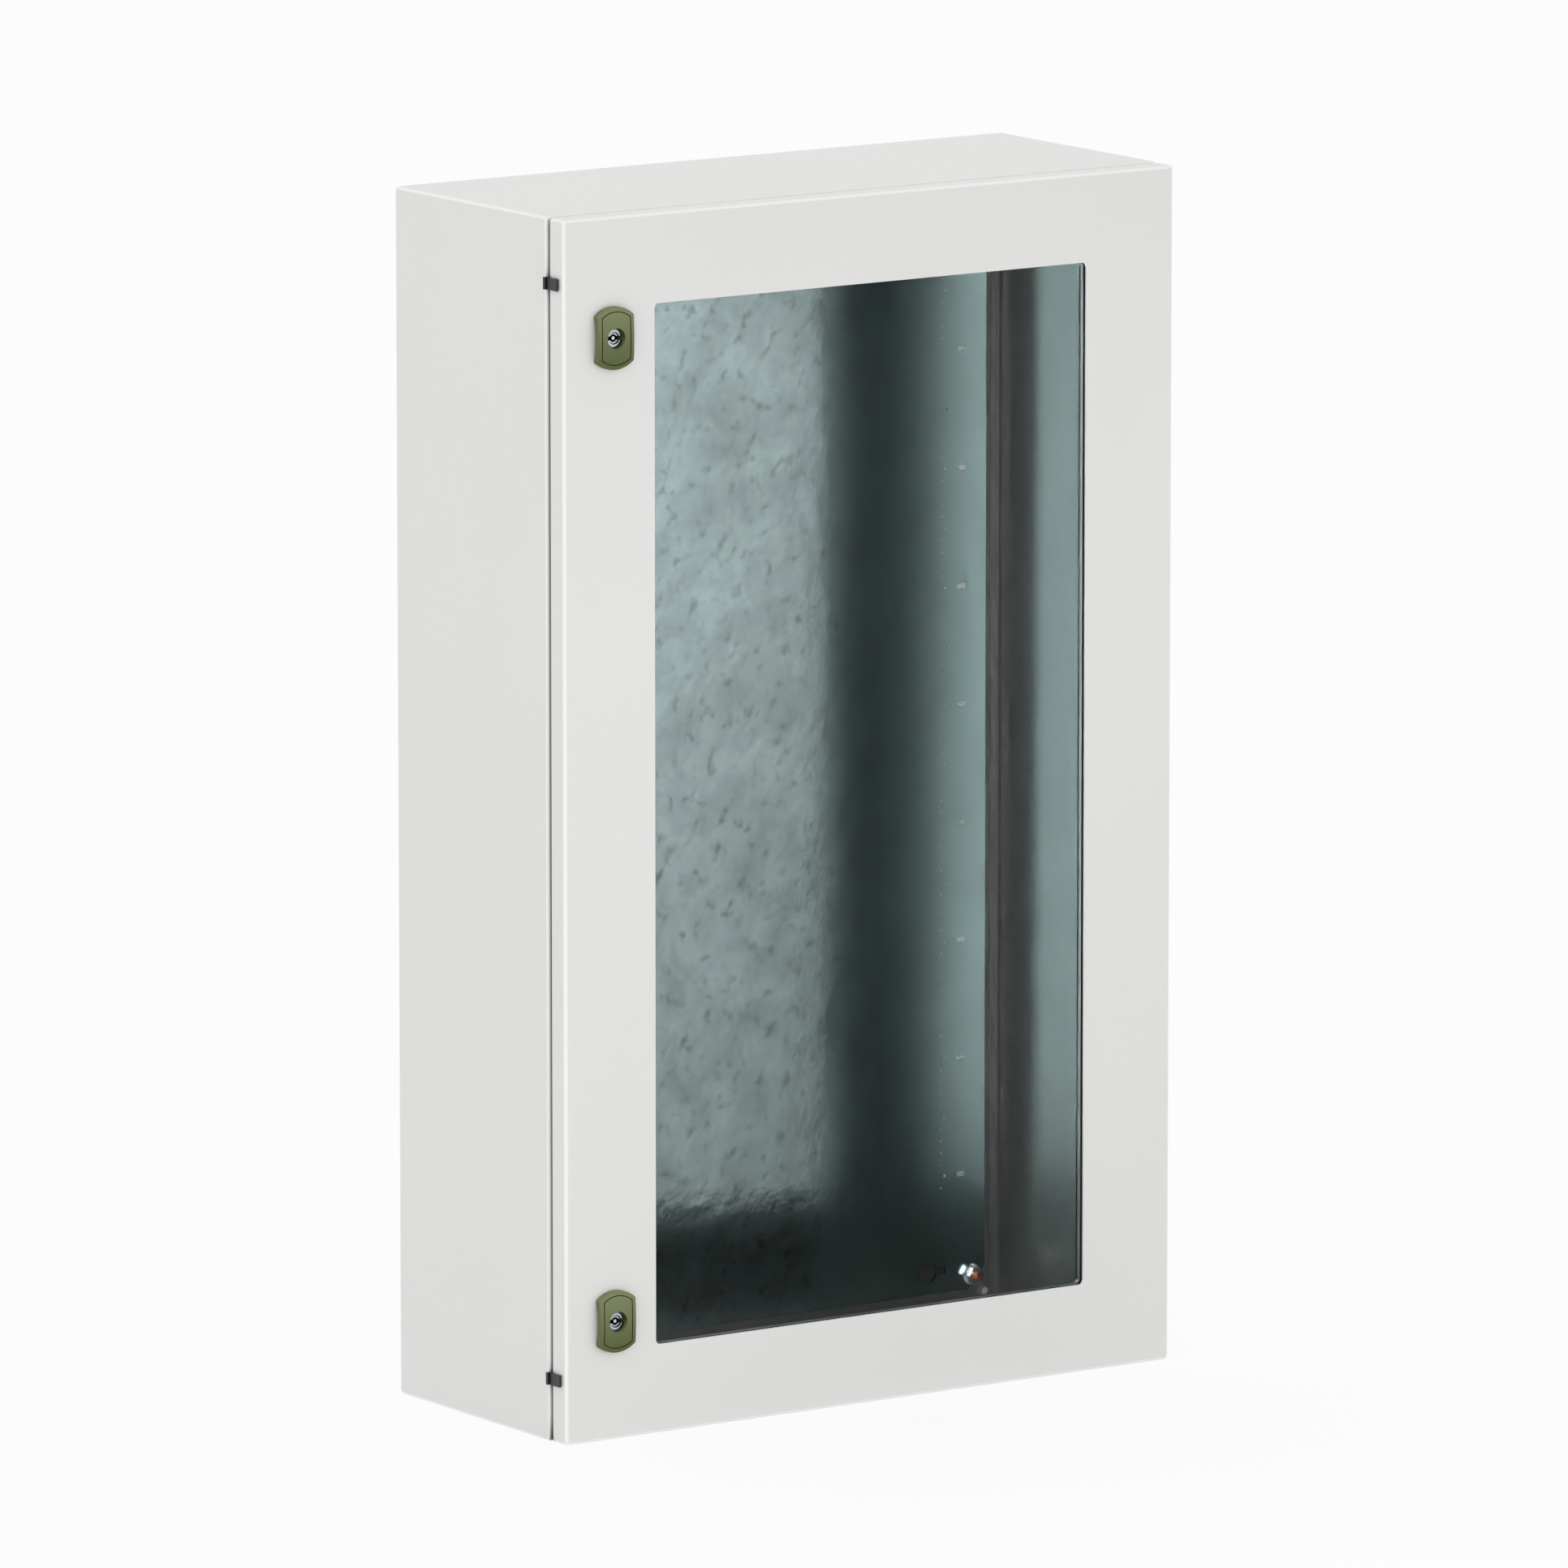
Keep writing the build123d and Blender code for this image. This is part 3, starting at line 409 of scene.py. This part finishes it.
def plated_metal(name, dull, bright, roughness, grain, recess_shade=None):
    """Electroplated metal: a thin bright layer over a fine grain, a little duller in patches.

    A recess shade gives the colour of the shade painted into grooves and holes, its reach, and the shares of
    open sky at which it is full and gone.
    """
    material, tree, place = begin(name)
    patch = add(tree, "ShaderNodeTexNoise", {"Vector": place, "Scale": per_mm(6), "Detail": 3.0})
    fine = add(tree, "ShaderNodeTexNoise", {"Vector": place, "Scale": per_mm(grain), "Detail": 2.0})
    colour = add(tree, "ShaderNodeMix", {
        "data_type": "RGBA", "Factor": patch.outputs["Fac"],
        colour_a: linear(dull), colour_b: linear(bright),
    })
    # Painted shade in grooves and holes
    if recess_shade:
        colour = soiled_recesses(tree, colour, *recess_shade)
    rough = add(tree, "ShaderNodeMapRange", {
        "Value": patch.outputs["Fac"],
        "To Min": roughness + plating_spread, "To Max": roughness - plating_spread,
    })
    bump = add(tree, "ShaderNodeBump", {
        "Height": fine.outputs["Fac"], "Distance": 0.01 * mm, "Strength": 0.5,
    })
    shader = add(tree, "ShaderNodeBsdfPrincipled", {
        "Base Color": colour.outputs[mixed_colour], "Metallic": 1.0, "Roughness": rough.outputs["Result"],
        "Normal": bump.outputs["Normal"],
    })
    close(tree, shader)
    return material


def zinc_plated_steel():
    """Zinc plate on pressed steel: cool silver with a soft shine."""
    return plated_metal("zinc_plated_steel", "#A9AEB2", "#C6CACC", 0.30, 0.6)


def coppered_steel():
    """Weld studs with a thin copper flash: warm red metal, brightest on the thread crests, with dark painted
    shade in the thread roots.
    """
    recess_shade = ("#3E2418", copper_reach, copper_sky)
    return plated_metal("coppered_steel", "#A9694A", "#D08E6A", 0.28, 0.5, recess_shade)


def nickel_plated_zinc():
    """Die-cast zinc with polished nickel plate: near-white mirror shine, with grey painted shade in its
    recesses.
    """
    recess_shade = ("#3C4448", nickel_reach, nickel_sky)
    return plated_metal("nickel_plated_zinc", "#C6C9CC", "#D0D2D5", 0.16, 0.8, recess_shade)


def tinted_glass():
    """Clear toughened float glass with an anti-reflective coat: hardly a mirror image, hardly a colour."""
    material, tree, place = begin("tinted_glass")
    smear = add(tree, "ShaderNodeTexNoise", {"Vector": place, "Scale": per_mm(60), "Detail": 2.0})
    tint = add(tree, "ShaderNodeMix", {
        "data_type": "RGBA", "Factor": smear.outputs["Fac"],
        colour_a: linear("#FAFAFA"), colour_b: linear("#FBFBFB"),
    })
    seen = add(tree, "ShaderNodeBsdfTransparent", {"Color": tint.outputs[mixed_colour]})
    sheen = add(tree, "ShaderNodeBsdfGlossy", {"Color": linear("#FFFFFF"), "Roughness": 0.0})
    mirror = add(tree, "ShaderNodeFresnel", {"IOR": 1.09})
    pane = add(tree, "ShaderNodeMixShader", {
        0: mirror.outputs["Fac"], 1: seen.outputs[0], 2: sheen.outputs[0],
    })
    # Scattered light comes through weakened, so the inside stays dim behind the pane
    path = add(tree, "ShaderNodeLightPath", {})
    scattered = add(tree, "ShaderNodeMath", {
        "operation": "MAXIMUM", 0: path.outputs["Is Diffuse Ray"], 1: path.outputs["Is Shadow Ray"],
    })
    dim = add(tree, "ShaderNodeBsdfTransparent", {"Color": linear("#8D8E8E")})
    shader = add(tree, "ShaderNodeMixShader", {
        0: scattered.outputs[0], 1: pane.outputs[0], 2: dim.outputs[0],
    })
    close(tree, shader)
    return material


def dull_moulding(name, dark, light, roughness, grain, rise, ior=1.53, lit_top=None, groove_shade=None):
    """Moulded or extruded polymer: one colour that drifts a little, with a fine grain that breaks the shine.

    A lighter colour is painted where the surface leans upward, as if lit from above, and painted shade fills
    its grooves.
    """
    material, tree, place = begin(name)
    drift = add(tree, "ShaderNodeTexNoise", {"Vector": place, "Scale": per_mm(14), "Detail": 3.0})
    fine = add(tree, "ShaderNodeTexNoise", {"Vector": place, "Scale": per_mm(grain), "Detail": 2.0})
    colour = add(tree, "ShaderNodeMix", {
        "data_type": "RGBA", "Factor": drift.outputs["Fac"],
        colour_a: linear(dark), colour_b: linear(light),
    })
    # Painted light: faces that lean upward are drawn lighter, as if lit from above
    if lit_top:
        lean = add(tree, "ShaderNodeNewGeometry", {}).outputs["Normal"]
        lean = add(tree, "ShaderNodeSeparateXYZ", {"Vector": lean})
        upward = add(tree, "ShaderNodeMapRange", {
            "Value": lean.outputs["Z"], "From Min": -top_light_lean, "From Max": top_light_lean,
        })
        colour = add(tree, "ShaderNodeMix", {
            "data_type": "RGBA", "Factor": upward.outputs["Result"],
            colour_a: colour.outputs[mixed_colour], colour_b: linear(lit_top),
        })
    # Painted shade in the grooves
    if groove_shade:
        colour = soiled_recesses(tree, colour, groove_shade, groove_reach, groove_sky)
    rough = add(tree, "ShaderNodeMapRange", {
        "Value": fine.outputs["Fac"],
        "To Min": roughness - moulding_spread, "To Max": roughness + moulding_spread,
    })
    bump = add(tree, "ShaderNodeBump", {
        "Height": fine.outputs["Fac"], "Distance": rise * mm, "Strength": 0.5,
    })
    shader = add(tree, "ShaderNodeBsdfPrincipled", {
        "Base Color": colour.outputs[mixed_colour], "Roughness": rough.outputs["Result"],
        "Normal": bump.outputs["Normal"], "IOR": ior,
    })
    close(tree, shader)
    return material


def black_rubber():
    """Extruded rubber: matt black with a faint bloom."""
    return dull_moulding("black_rubber", "#080808", "#0E0E0E", 0.75, 0.7, 0.01, ior=1.3)


def grey_foam():
    """Polyurethane foamed in place: dark grey skin pitted by its cells."""
    return dull_moulding("grey_foam", "#2E2F30", "#424344", 0.80, 1.2, 0.12)


def olive_plastic():
    """Glass-filled polyamide, moulded olive green: satin, painted lighter where it leans upward as if lit
    from above, with painted shade in its grooves.
    """
    return dull_moulding(
        "olive_plastic", "#525B2C", "#566031", 0.50, 0.9, 0.012, ior=1.4, lit_top="#79815A", groove_shade="#22270F"
    )


def black_plastic():
    """Polyamide, moulded black: satin."""
    return dull_moulding("black_plastic", "#1B1B1B", "#252525", 0.40, 0.9, 0.012)


def grey_plastic():
    """Polyethylene, moulded light grey and thin: waxy, matt, and lets some light through from behind."""
    material = dull_moulding("grey_plastic", "#D2D2CF", "#DCDCD9", 0.50, 1.0, 0.01)
    tree = material.node_tree
    output = next(node for node in tree.nodes if node.type == "OUTPUT_MATERIAL")
    skin = output.inputs["Surface"].links[0].from_socket
    through = add(tree, "ShaderNodeBsdfTranslucent", {"Color": linear("#E4E4E0")})
    mixed = add(tree, "ShaderNodeMixShader", {0: light_through, 1: skin, 2: through.outputs[0]})
    tree.links.new(mixed.outputs[0], output.inputs["Surface"])
    return material


finishes = {
    finish.__name__: finish()
    for finish in (
        light_grey_powder_coat, galvanised_sheet, zinc_plated_steel, coppered_steel, nickel_plated_zinc,
        tinted_glass, black_rubber, grey_foam, olive_plastic, black_plastic, grey_plastic,
    )
}
for subpart in frame["record"]["subparts"]:
    coats = nodes[subpart["node"]].data.materials
    coats.clear()
    coats.append(finishes[subpart["material_slot"]])


def new_piece(name, mesh, body, slot):
    """Puts a finished mesh in the scene, on its body and with its slot's finish."""
    piece = bpy.data.objects.new(name, mesh)
    bpy.context.scene.collection.objects.link(piece)
    mesh.materials.clear()
    mesh.materials.append(finishes[slot])
    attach(piece, body)
    return piece


def ruler_marks():
    """Points every 10 and 50 mm and numbers every 100 mm, raised on the front of the mounting plate."""
    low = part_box("mounting_plate")[0]
    face = low.y
    points = bmesh.new()
    turns = [2 * math.pi * k / ruler_dot_sides for k in range(ruler_dot_sides)]
    for level in range(ruler_first, ruler_last + 1, ruler_fine_step):
        coarse = level % ruler_coarse_step == 0
        radius = ruler_coarse_radius if coarse else ruler_fine_radius
        x = ruler_coarse_x if coarse else ruler_fine_x
        z = low.z + level * mm
        tip = points.verts.new((x, face - ruler_dot_rise * radius, z))
        rim = [points.verts.new((x + radius * math.cos(t), face, z + radius * math.sin(t))) for t in turns]
        points.faces.new(reversed(rim))
        for k in range(ruler_dot_sides):
            points.faces.new((rim[k], rim[(k + 1) % ruler_dot_sides], tip)).smooth = True
    bmesh.ops.recalc_face_normals(points, faces=points.faces)
    mesh = bpy.data.meshes.new("ruler_points")
    points.to_mesh(mesh)
    points.free()
    new_piece("ruler_points", mesh, "body", "zinc_plated_steel")

    for level in range(ruler_number_step, ruler_last, ruler_number_step):
        text = bpy.data.curves.new(f"ruler_text_{level}", "FONT")
        text.body = str(level)
        text.size = ruler_number_height
        text.bevel_depth = ruler_number_bevel
        text.bevel_resolution = 0
        text.align_y = "CENTER"
        holder = bpy.data.objects.new(f"ruler_holder_{level}", text)
        bpy.context.scene.collection.objects.link(holder)
        bpy.context.view_layer.update()
        shaped = holder.evaluated_get(bpy.context.evaluated_depsgraph_get())
        mesh = bpy.data.meshes.new_from_object(shaped)
        bpy.data.objects.remove(holder)
        stand = Matrix.Rotation(math.radians(90), 4, "X")
        mesh.transform(Matrix.Translation((ruler_number_x, face, low.z + level * mm)) @ stand)
        new_piece(f"ruler_number_{level}", mesh, "body", "zinc_plated_steel")


def solids_of(node_name):
    """Lowest and highest corner of each separate solid in a CAD node."""
    joined = bmesh.new()
    joined.from_mesh(nodes[node_name].data)
    bmesh.ops.remove_doubles(joined, verts=joined.verts, dist=weld_distance)
    left = set(joined.verts)
    boxes = []
    while left:
        reached = [left.pop()]
        corners = []
        while reached:
            vertex = reached.pop()
            corners.append(vertex.co.copy())
            for edge in vertex.link_edges:
                other = edge.other_vert(vertex)
                if other in left:
                    left.remove(other)
                    reached.append(other)
        boxes.append((Vector(map(min, zip(*corners))), Vector(map(max, zip(*corners)))))
    joined.free()
    return boxes


def threaded_rod(target, low, high):
    """Adds a rod with a helical thread that fills a box; the box's longest side is the rod's axis."""
    size = high - low
    along = max(range(3), key=lambda i: size[i])
    across = [i for i in range(3) if i != along]
    radius = size[across[0]] / 2
    pitch = thread_pitches[round(2 * radius / mm)]
    root = radius - thread_depth * pitch
    middle = (low + high) / 2

    def corner(angle, reach, level):
        level = min(max(level, low[along]), high[along])
        # The last half turn at each end runs out in a bevel
        end = min(level - low[along], high[along] - level)
        if reach == radius and end < pitch / 2:
            reach += (root - radius) * (1 - 2 * end / pitch)
        place = middle.copy()
        place[across[0]] += reach * math.cos(angle)
        place[across[1]] += reach * math.sin(angle)
        place[along] = level
        return target.verts.new(place)

    steps = int((size[along] / pitch + 2) * thread_steps)
    crests, roots = [], []
    for k in range(steps):
        angle = 2 * math.pi * k / thread_steps
        level = low[along] + (k / thread_steps - 1) * pitch
        crests.append(corner(angle, radius, level))
        roots.append(corner(angle, root, level + pitch / 2))
    for k in range(steps - thread_steps - 1):
        target.faces.new((crests[k], crests[k + 1], roots[k + 1], roots[k]))
        n = k + thread_steps
        target.faces.new((roots[k], roots[k + 1], crests[n + 1], crests[n]))
    for level in (low[along], high[along]):
        rim = [corner(2 * math.pi * k / thread_steps, root, level) for k in range(thread_steps)]
        target.faces.new(rim)


def cut_threads():
    """Coarse threads on the weld studs, in place of their plain CAD rods."""
    for node_name, body in stud_nodes.items():
        rods = bmesh.new()
        for low, high in solids_of(node_name):
            threaded_rod(rods, low, high)
        bmesh.ops.recalc_face_normals(rods, faces=rods.faces)
        mesh = bpy.data.meshes.new(f"{node_name}_threaded")
        rods.to_mesh(mesh)
        rods.free()
        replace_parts(new_piece(f"{node_name}_threaded", mesh, body, "coppered_steel"), node_name)


def plug_wall_holes():
    """Thin crowned membranes that close the four wall holes and let some daylight through."""
    plugs = bmesh.new()
    turns = [2 * math.pi * k / plug_steps for k in range(plug_steps)]
    ring_rise = plug_crown * (1 - plug_ring**2)
    for low, high in solids_of("wall_hole_bushes"):
        x, z = (low.x + high.x) / 2, (low.z + high.z) / 2
        tip = plugs.verts.new((x, low.y - plug_crown, z))
        inner, outer = (
            [plugs.verts.new((x + radius * math.cos(t), y, z + radius * math.sin(t))) for t in turns]
            for radius, y in ((plug_radius * plug_ring, low.y - ring_rise), (plug_radius, low.y))
        )
        for k in range(plug_steps):
            n = (k + 1) % plug_steps
            plugs.faces.new((tip, inner[k], inner[n])).smooth = True
            plugs.faces.new((inner[k], outer[k], outer[n], inner[n])).smooth = True
    bmesh.ops.recalc_face_normals(plugs, faces=plugs.faces)
    mesh = bpy.data.meshes.new("wall_hole_plugs")
    plugs.to_mesh(mesh)
    plugs.free()
    new_piece("wall_hole_plugs", mesh, "body", "grey_plastic")


def window_outline(grow):
    """Points around the window with its round corners, in X and Z, grown outwards on all sides."""
    points = []
    quarter = math.pi / 2
    for first, (across, along) in enumerate(((1, 1), (-1, 1), (-1, -1), (1, -1))):
        middle_x = across * (window_side - window_corner)
        middle_z = along * (window_end - window_corner)
        for k in range(edging_steps + 1):
            angle = (first + k / edging_steps) * quarter
            reach = window_corner + grow
            points.append((middle_x + reach * math.cos(angle), middle_z + reach * math.sin(angle)))
    return points


def edge_the_pane():
    """Pale edging of the pane: a thin ring between the black seal and the rear of the glass frame."""
    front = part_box("window_seal")[1].y  # the seal's rear face
    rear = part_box("glass_frame")[1].y
    ring_mesh = bmesh.new()
    # Inner front, inner rear, outer front and outer rear edge
    rings = []
    for grow in (0.0, edging_thickness):
        for y in (front, rear):
            rings.append([ring_mesh.verts.new((x, y, z)) for x, z in window_outline(grow)])
    count = len(rings[0])
    for k in range(count):
        n = (k + 1) % count
        for a, b in ((0, 1), (1, 3), (3, 2), (2, 0)):
            ring_mesh.faces.new((rings[a][k], rings[a][n], rings[b][n], rings[b][k]))
    bmesh.ops.recalc_face_normals(ring_mesh, faces=ring_mesh.faces)
    mesh = bpy.data.meshes.new("pane_edging")
    ring_mesh.to_mesh(mesh)
    ring_mesh.free()
    new_piece("pane_edging", mesh, "door", "light_grey_powder_coat")


ruler_marks()
cut_threads()
plug_wall_holes()
edge_the_pane()


def looked_at(tree):
    """Is 1 where the camera sees a surface straight or in a mirror image, and 0 where it only gives light."""
    path = add(tree, "ShaderNodeLightPath", {})
    mirrored = add(tree, "ShaderNodeMath", {
        "operation": "MAXIMUM", 0: path.outputs["Is Glossy Ray"], 1: path.outputs["Is Transmission Ray"],
    })
    return add(tree, "ShaderNodeMath", {
        "operation": "MAXIMUM", 0: path.outputs["Is Camera Ray"], 1: mirrored.outputs[0],
    }).outputs[0]


def make_floor():
    """Plain white floor: the camera and mirror images see it nearly white, with a soft shadow kept."""
    mesh = bpy.data.meshes.new("floor")
    half = floor_size / 2
    z = cad_box[0].z
    corners = [(-half, -half, z), (half, -half, z), (half, half, z), (-half, half, z)]
    mesh.from_pydata(corners, [], [(0, 1, 2, 3)])
    floor = bpy.data.objects.new("floor", mesh)
    bpy.context.scene.collection.objects.link(floor)
    material, tree, place = begin("white_floor")
    grain = add(tree, "ShaderNodeTexNoise", {"Vector": place, "Scale": per_mm(300), "Detail": 2.0})
    colour = add(tree, "ShaderNodeMix", {
        "data_type": "RGBA", "Factor": grain.outputs["Fac"],
        colour_a: linear("#F8F8F8"), colour_b: linear("#FAFAFA"),
    })
    matt = add(tree, "ShaderNodeBsdfDiffuse", {"Color": colour.outputs[mixed_colour]})
    white = add(tree, "ShaderNodeEmission", {"Color": linear("#FFFFFF"), "Strength": 1.0})
    share = add(tree, "ShaderNodeMath", {
        "operation": "MULTIPLY", 0: looked_at(tree), 1: 1 - floor_shadow,
    })
    shader = add(tree, "ShaderNodeMixShader", {0: share.outputs[0], 1: matt.outputs[0], 2: white.outputs[0]})
    close(tree, shader)
    mesh.materials.append(material)


def make_dome():
    """White studio all round: an even soft light, and plain white to the camera and in mirror images."""
    world = bpy.data.worlds.new("studio")
    bpy.context.scene.world = world
    world.use_nodes = True
    tree = world.node_tree
    tree.nodes.clear()
    way = add(tree, "ShaderNodeTexCoord", {}).outputs["Generated"]
    parts = add(tree, "ShaderNodeSeparateXYZ", {"Vector": way})
    level = add(tree, "ShaderNodeMapRange", {
        "Value": parts.outputs["Z"], "From Min": -1.0, "From Max": 1.0,
        "To Min": dome_level * dome_floor, "To Max": dome_level * dome_top,
    })
    sideways = add(tree, "ShaderNodeMapRange", {
        "Value": parts.outputs["X"], "From Min": -1.0, "From Max": 1.0,
        "To Min": 1 + dome_left, "To Max": 1 - dome_left,
    })
    level = add(tree, "ShaderNodeMath", {
        "operation": "MULTIPLY", 0: level.outputs["Result"], 1: sideways.outputs["Result"],
    })
    soft = add(tree, "ShaderNodeBackground", {"Color": linear("#FFFFFF"), "Strength": level.outputs[0]})
    white = add(tree, "ShaderNodeBackground", {"Color": linear("#FFFFFF"), "Strength": 1.0})
    shader = add(tree, "ShaderNodeMixShader", {0: looked_at(tree), 1: soft.outputs[0], 2: white.outputs[0]})
    add(tree, "ShaderNodeOutputWorld", {"Surface": shader.outputs[0]})


def aim(thing, place, right, up, forward):
    """Stands a camera, card or lamp at a place, looking forward."""
    turn = Matrix((right, up, -forward)).transposed()
    thing.matrix_world = Matrix.Translation(place) @ turn.to_4x4()


def make_camera():
    """The photograph's long lens."""
    data = bpy.data.cameras.new("camera")
    data.lens = camera_lens
    data.sensor_width = camera_sensor
    data.clip_end = camera_reach
    camera = bpy.data.objects.new("camera", data)
    bpy.context.scene.collection.objects.link(camera)
    turn_sin, turn_cos = math.sin(view_turn), math.cos(view_turn)
    tilt_sin, tilt_cos = math.sin(view_tilt), math.cos(view_tilt)
    right = Vector((turn_cos, -turn_sin, 0.0))
    forward = Vector((turn_sin * tilt_cos, turn_cos * tilt_cos, -tilt_sin))
    up = Vector((turn_sin * tilt_sin, turn_cos * tilt_sin, tilt_cos))
    place = view_centre - right * view_right - up * view_up - forward * view_distance
    aim(camera, place, right, up, forward)
    bpy.context.scene.camera = camera


def make_soft_box(
    name, turn, distance, width, bottom, top, low_level, high_level, reflections, pane_faces
):
    """A card graded from bottom to top, which shines after so many reflections and pane faces or more."""
    half_width, half_height = width / 2, (top - bottom) / 2
    corners = [(x * half_width, y * half_height, 0.0) for x, y in ((-1, -1), (1, -1), (1, 1), (-1, 1))]
    mesh = bpy.data.meshes.new(name)
    mesh.from_pydata(corners, [], [(0, 1, 2, 3)])
    material, tree, place = begin(name)
    material.cycles.emission_sampling = "NONE"
    level = add(tree, "ShaderNodeSeparateXYZ", {"Vector": place}).outputs["Y"]
    grade = add(tree, "ShaderNodeMapRange", {
        "Value": level, "From Min": -half_height, "From Max": half_height,
        "To Min": low_level, "To Max": high_level,
    })
    glow = add(tree, "ShaderNodeEmission", {"Color": linear("#FFFFFF"), "Strength": grade.outputs["Result"]})
    clear = add(tree, "ShaderNodeBsdfTransparent", {"Color": linear("#FFFFFF")})
    lit = add(tree, "ShaderNodeAddShader", {0: glow.outputs[0], 1: clear.outputs[0]})
    path = add(tree, "ShaderNodeLightPath", {})
    mirrored = add(tree, "ShaderNodeMath", {
        "operation": "GREATER_THAN", 0: path.outputs["Glossy Depth"], 1: reflections - half_count,
    })
    unscattered = add(tree, "ShaderNodeMath", {
        "operation": "LESS_THAN", 0: path.outputs["Diffuse Depth"], 1: half_count,
    })
    passed = add(tree, "ShaderNodeMath", {
        "operation": "GREATER_THAN", 0: path.outputs["Transparent Depth"], 1: pane_faces - half_count,
    })
    chosen = mirrored.outputs[0]
    for condition in (unscattered, passed):
        chosen = add(tree, "ShaderNodeMath", {
            "operation": "MULTIPLY", 0: chosen, 1: condition.outputs[0],
        }).outputs[0]
    shader = add(tree, "ShaderNodeMixShader", {0: chosen, 1: clear.outputs[0], 2: lit.outputs[0]})
    close(tree, shader)
    mesh.materials.append(material)
    card = bpy.data.objects.new(name, mesh)
    card.visible_camera = False
    card.visible_diffuse = False
    card.visible_shadow = False
    bpy.context.scene.collection.objects.link(card)
    right = Vector((math.cos(turn), math.sin(turn), 0.0))
    forward = Vector((-math.sin(turn), math.cos(turn), 0.0))
    spot = view_centre - forward * distance
    spot.z = cad_box[0].z + (bottom + top) / 2
    aim(card, spot, right, upright, forward)


def make_fill():
    """A low soft lamp in front of the door, which evens its face downwards; mirror images don't show it."""
    data = bpy.data.lights.new("front_fill", "AREA")
    data.shape = "RECTANGLE"
    data.size, data.size_y = fill_size
    data.energy = lamp_spread * fill_size[0] * fill_size[1] * fill_level
    lamp = bpy.data.objects.new("front_fill", data)
    lamp.visible_camera = False
    lamp.visible_glossy = False
    bpy.context.scene.collection.objects.link(lamp)
    x, y, height = fill_place
    spot = Vector((x, y, cad_box[0].z + height))
    aim(lamp, spot, Vector((1.0, 0.0, 0.0)), upright, Vector((0.0, 1.0, 0.0)))


make_floor()
make_dome()
make_fill()
for box_name, box_values in soft_boxes.items():
    make_soft_box(box_name, **box_values)
make_camera()
bpy.context.scene.view_settings.view_transform = "Standard"
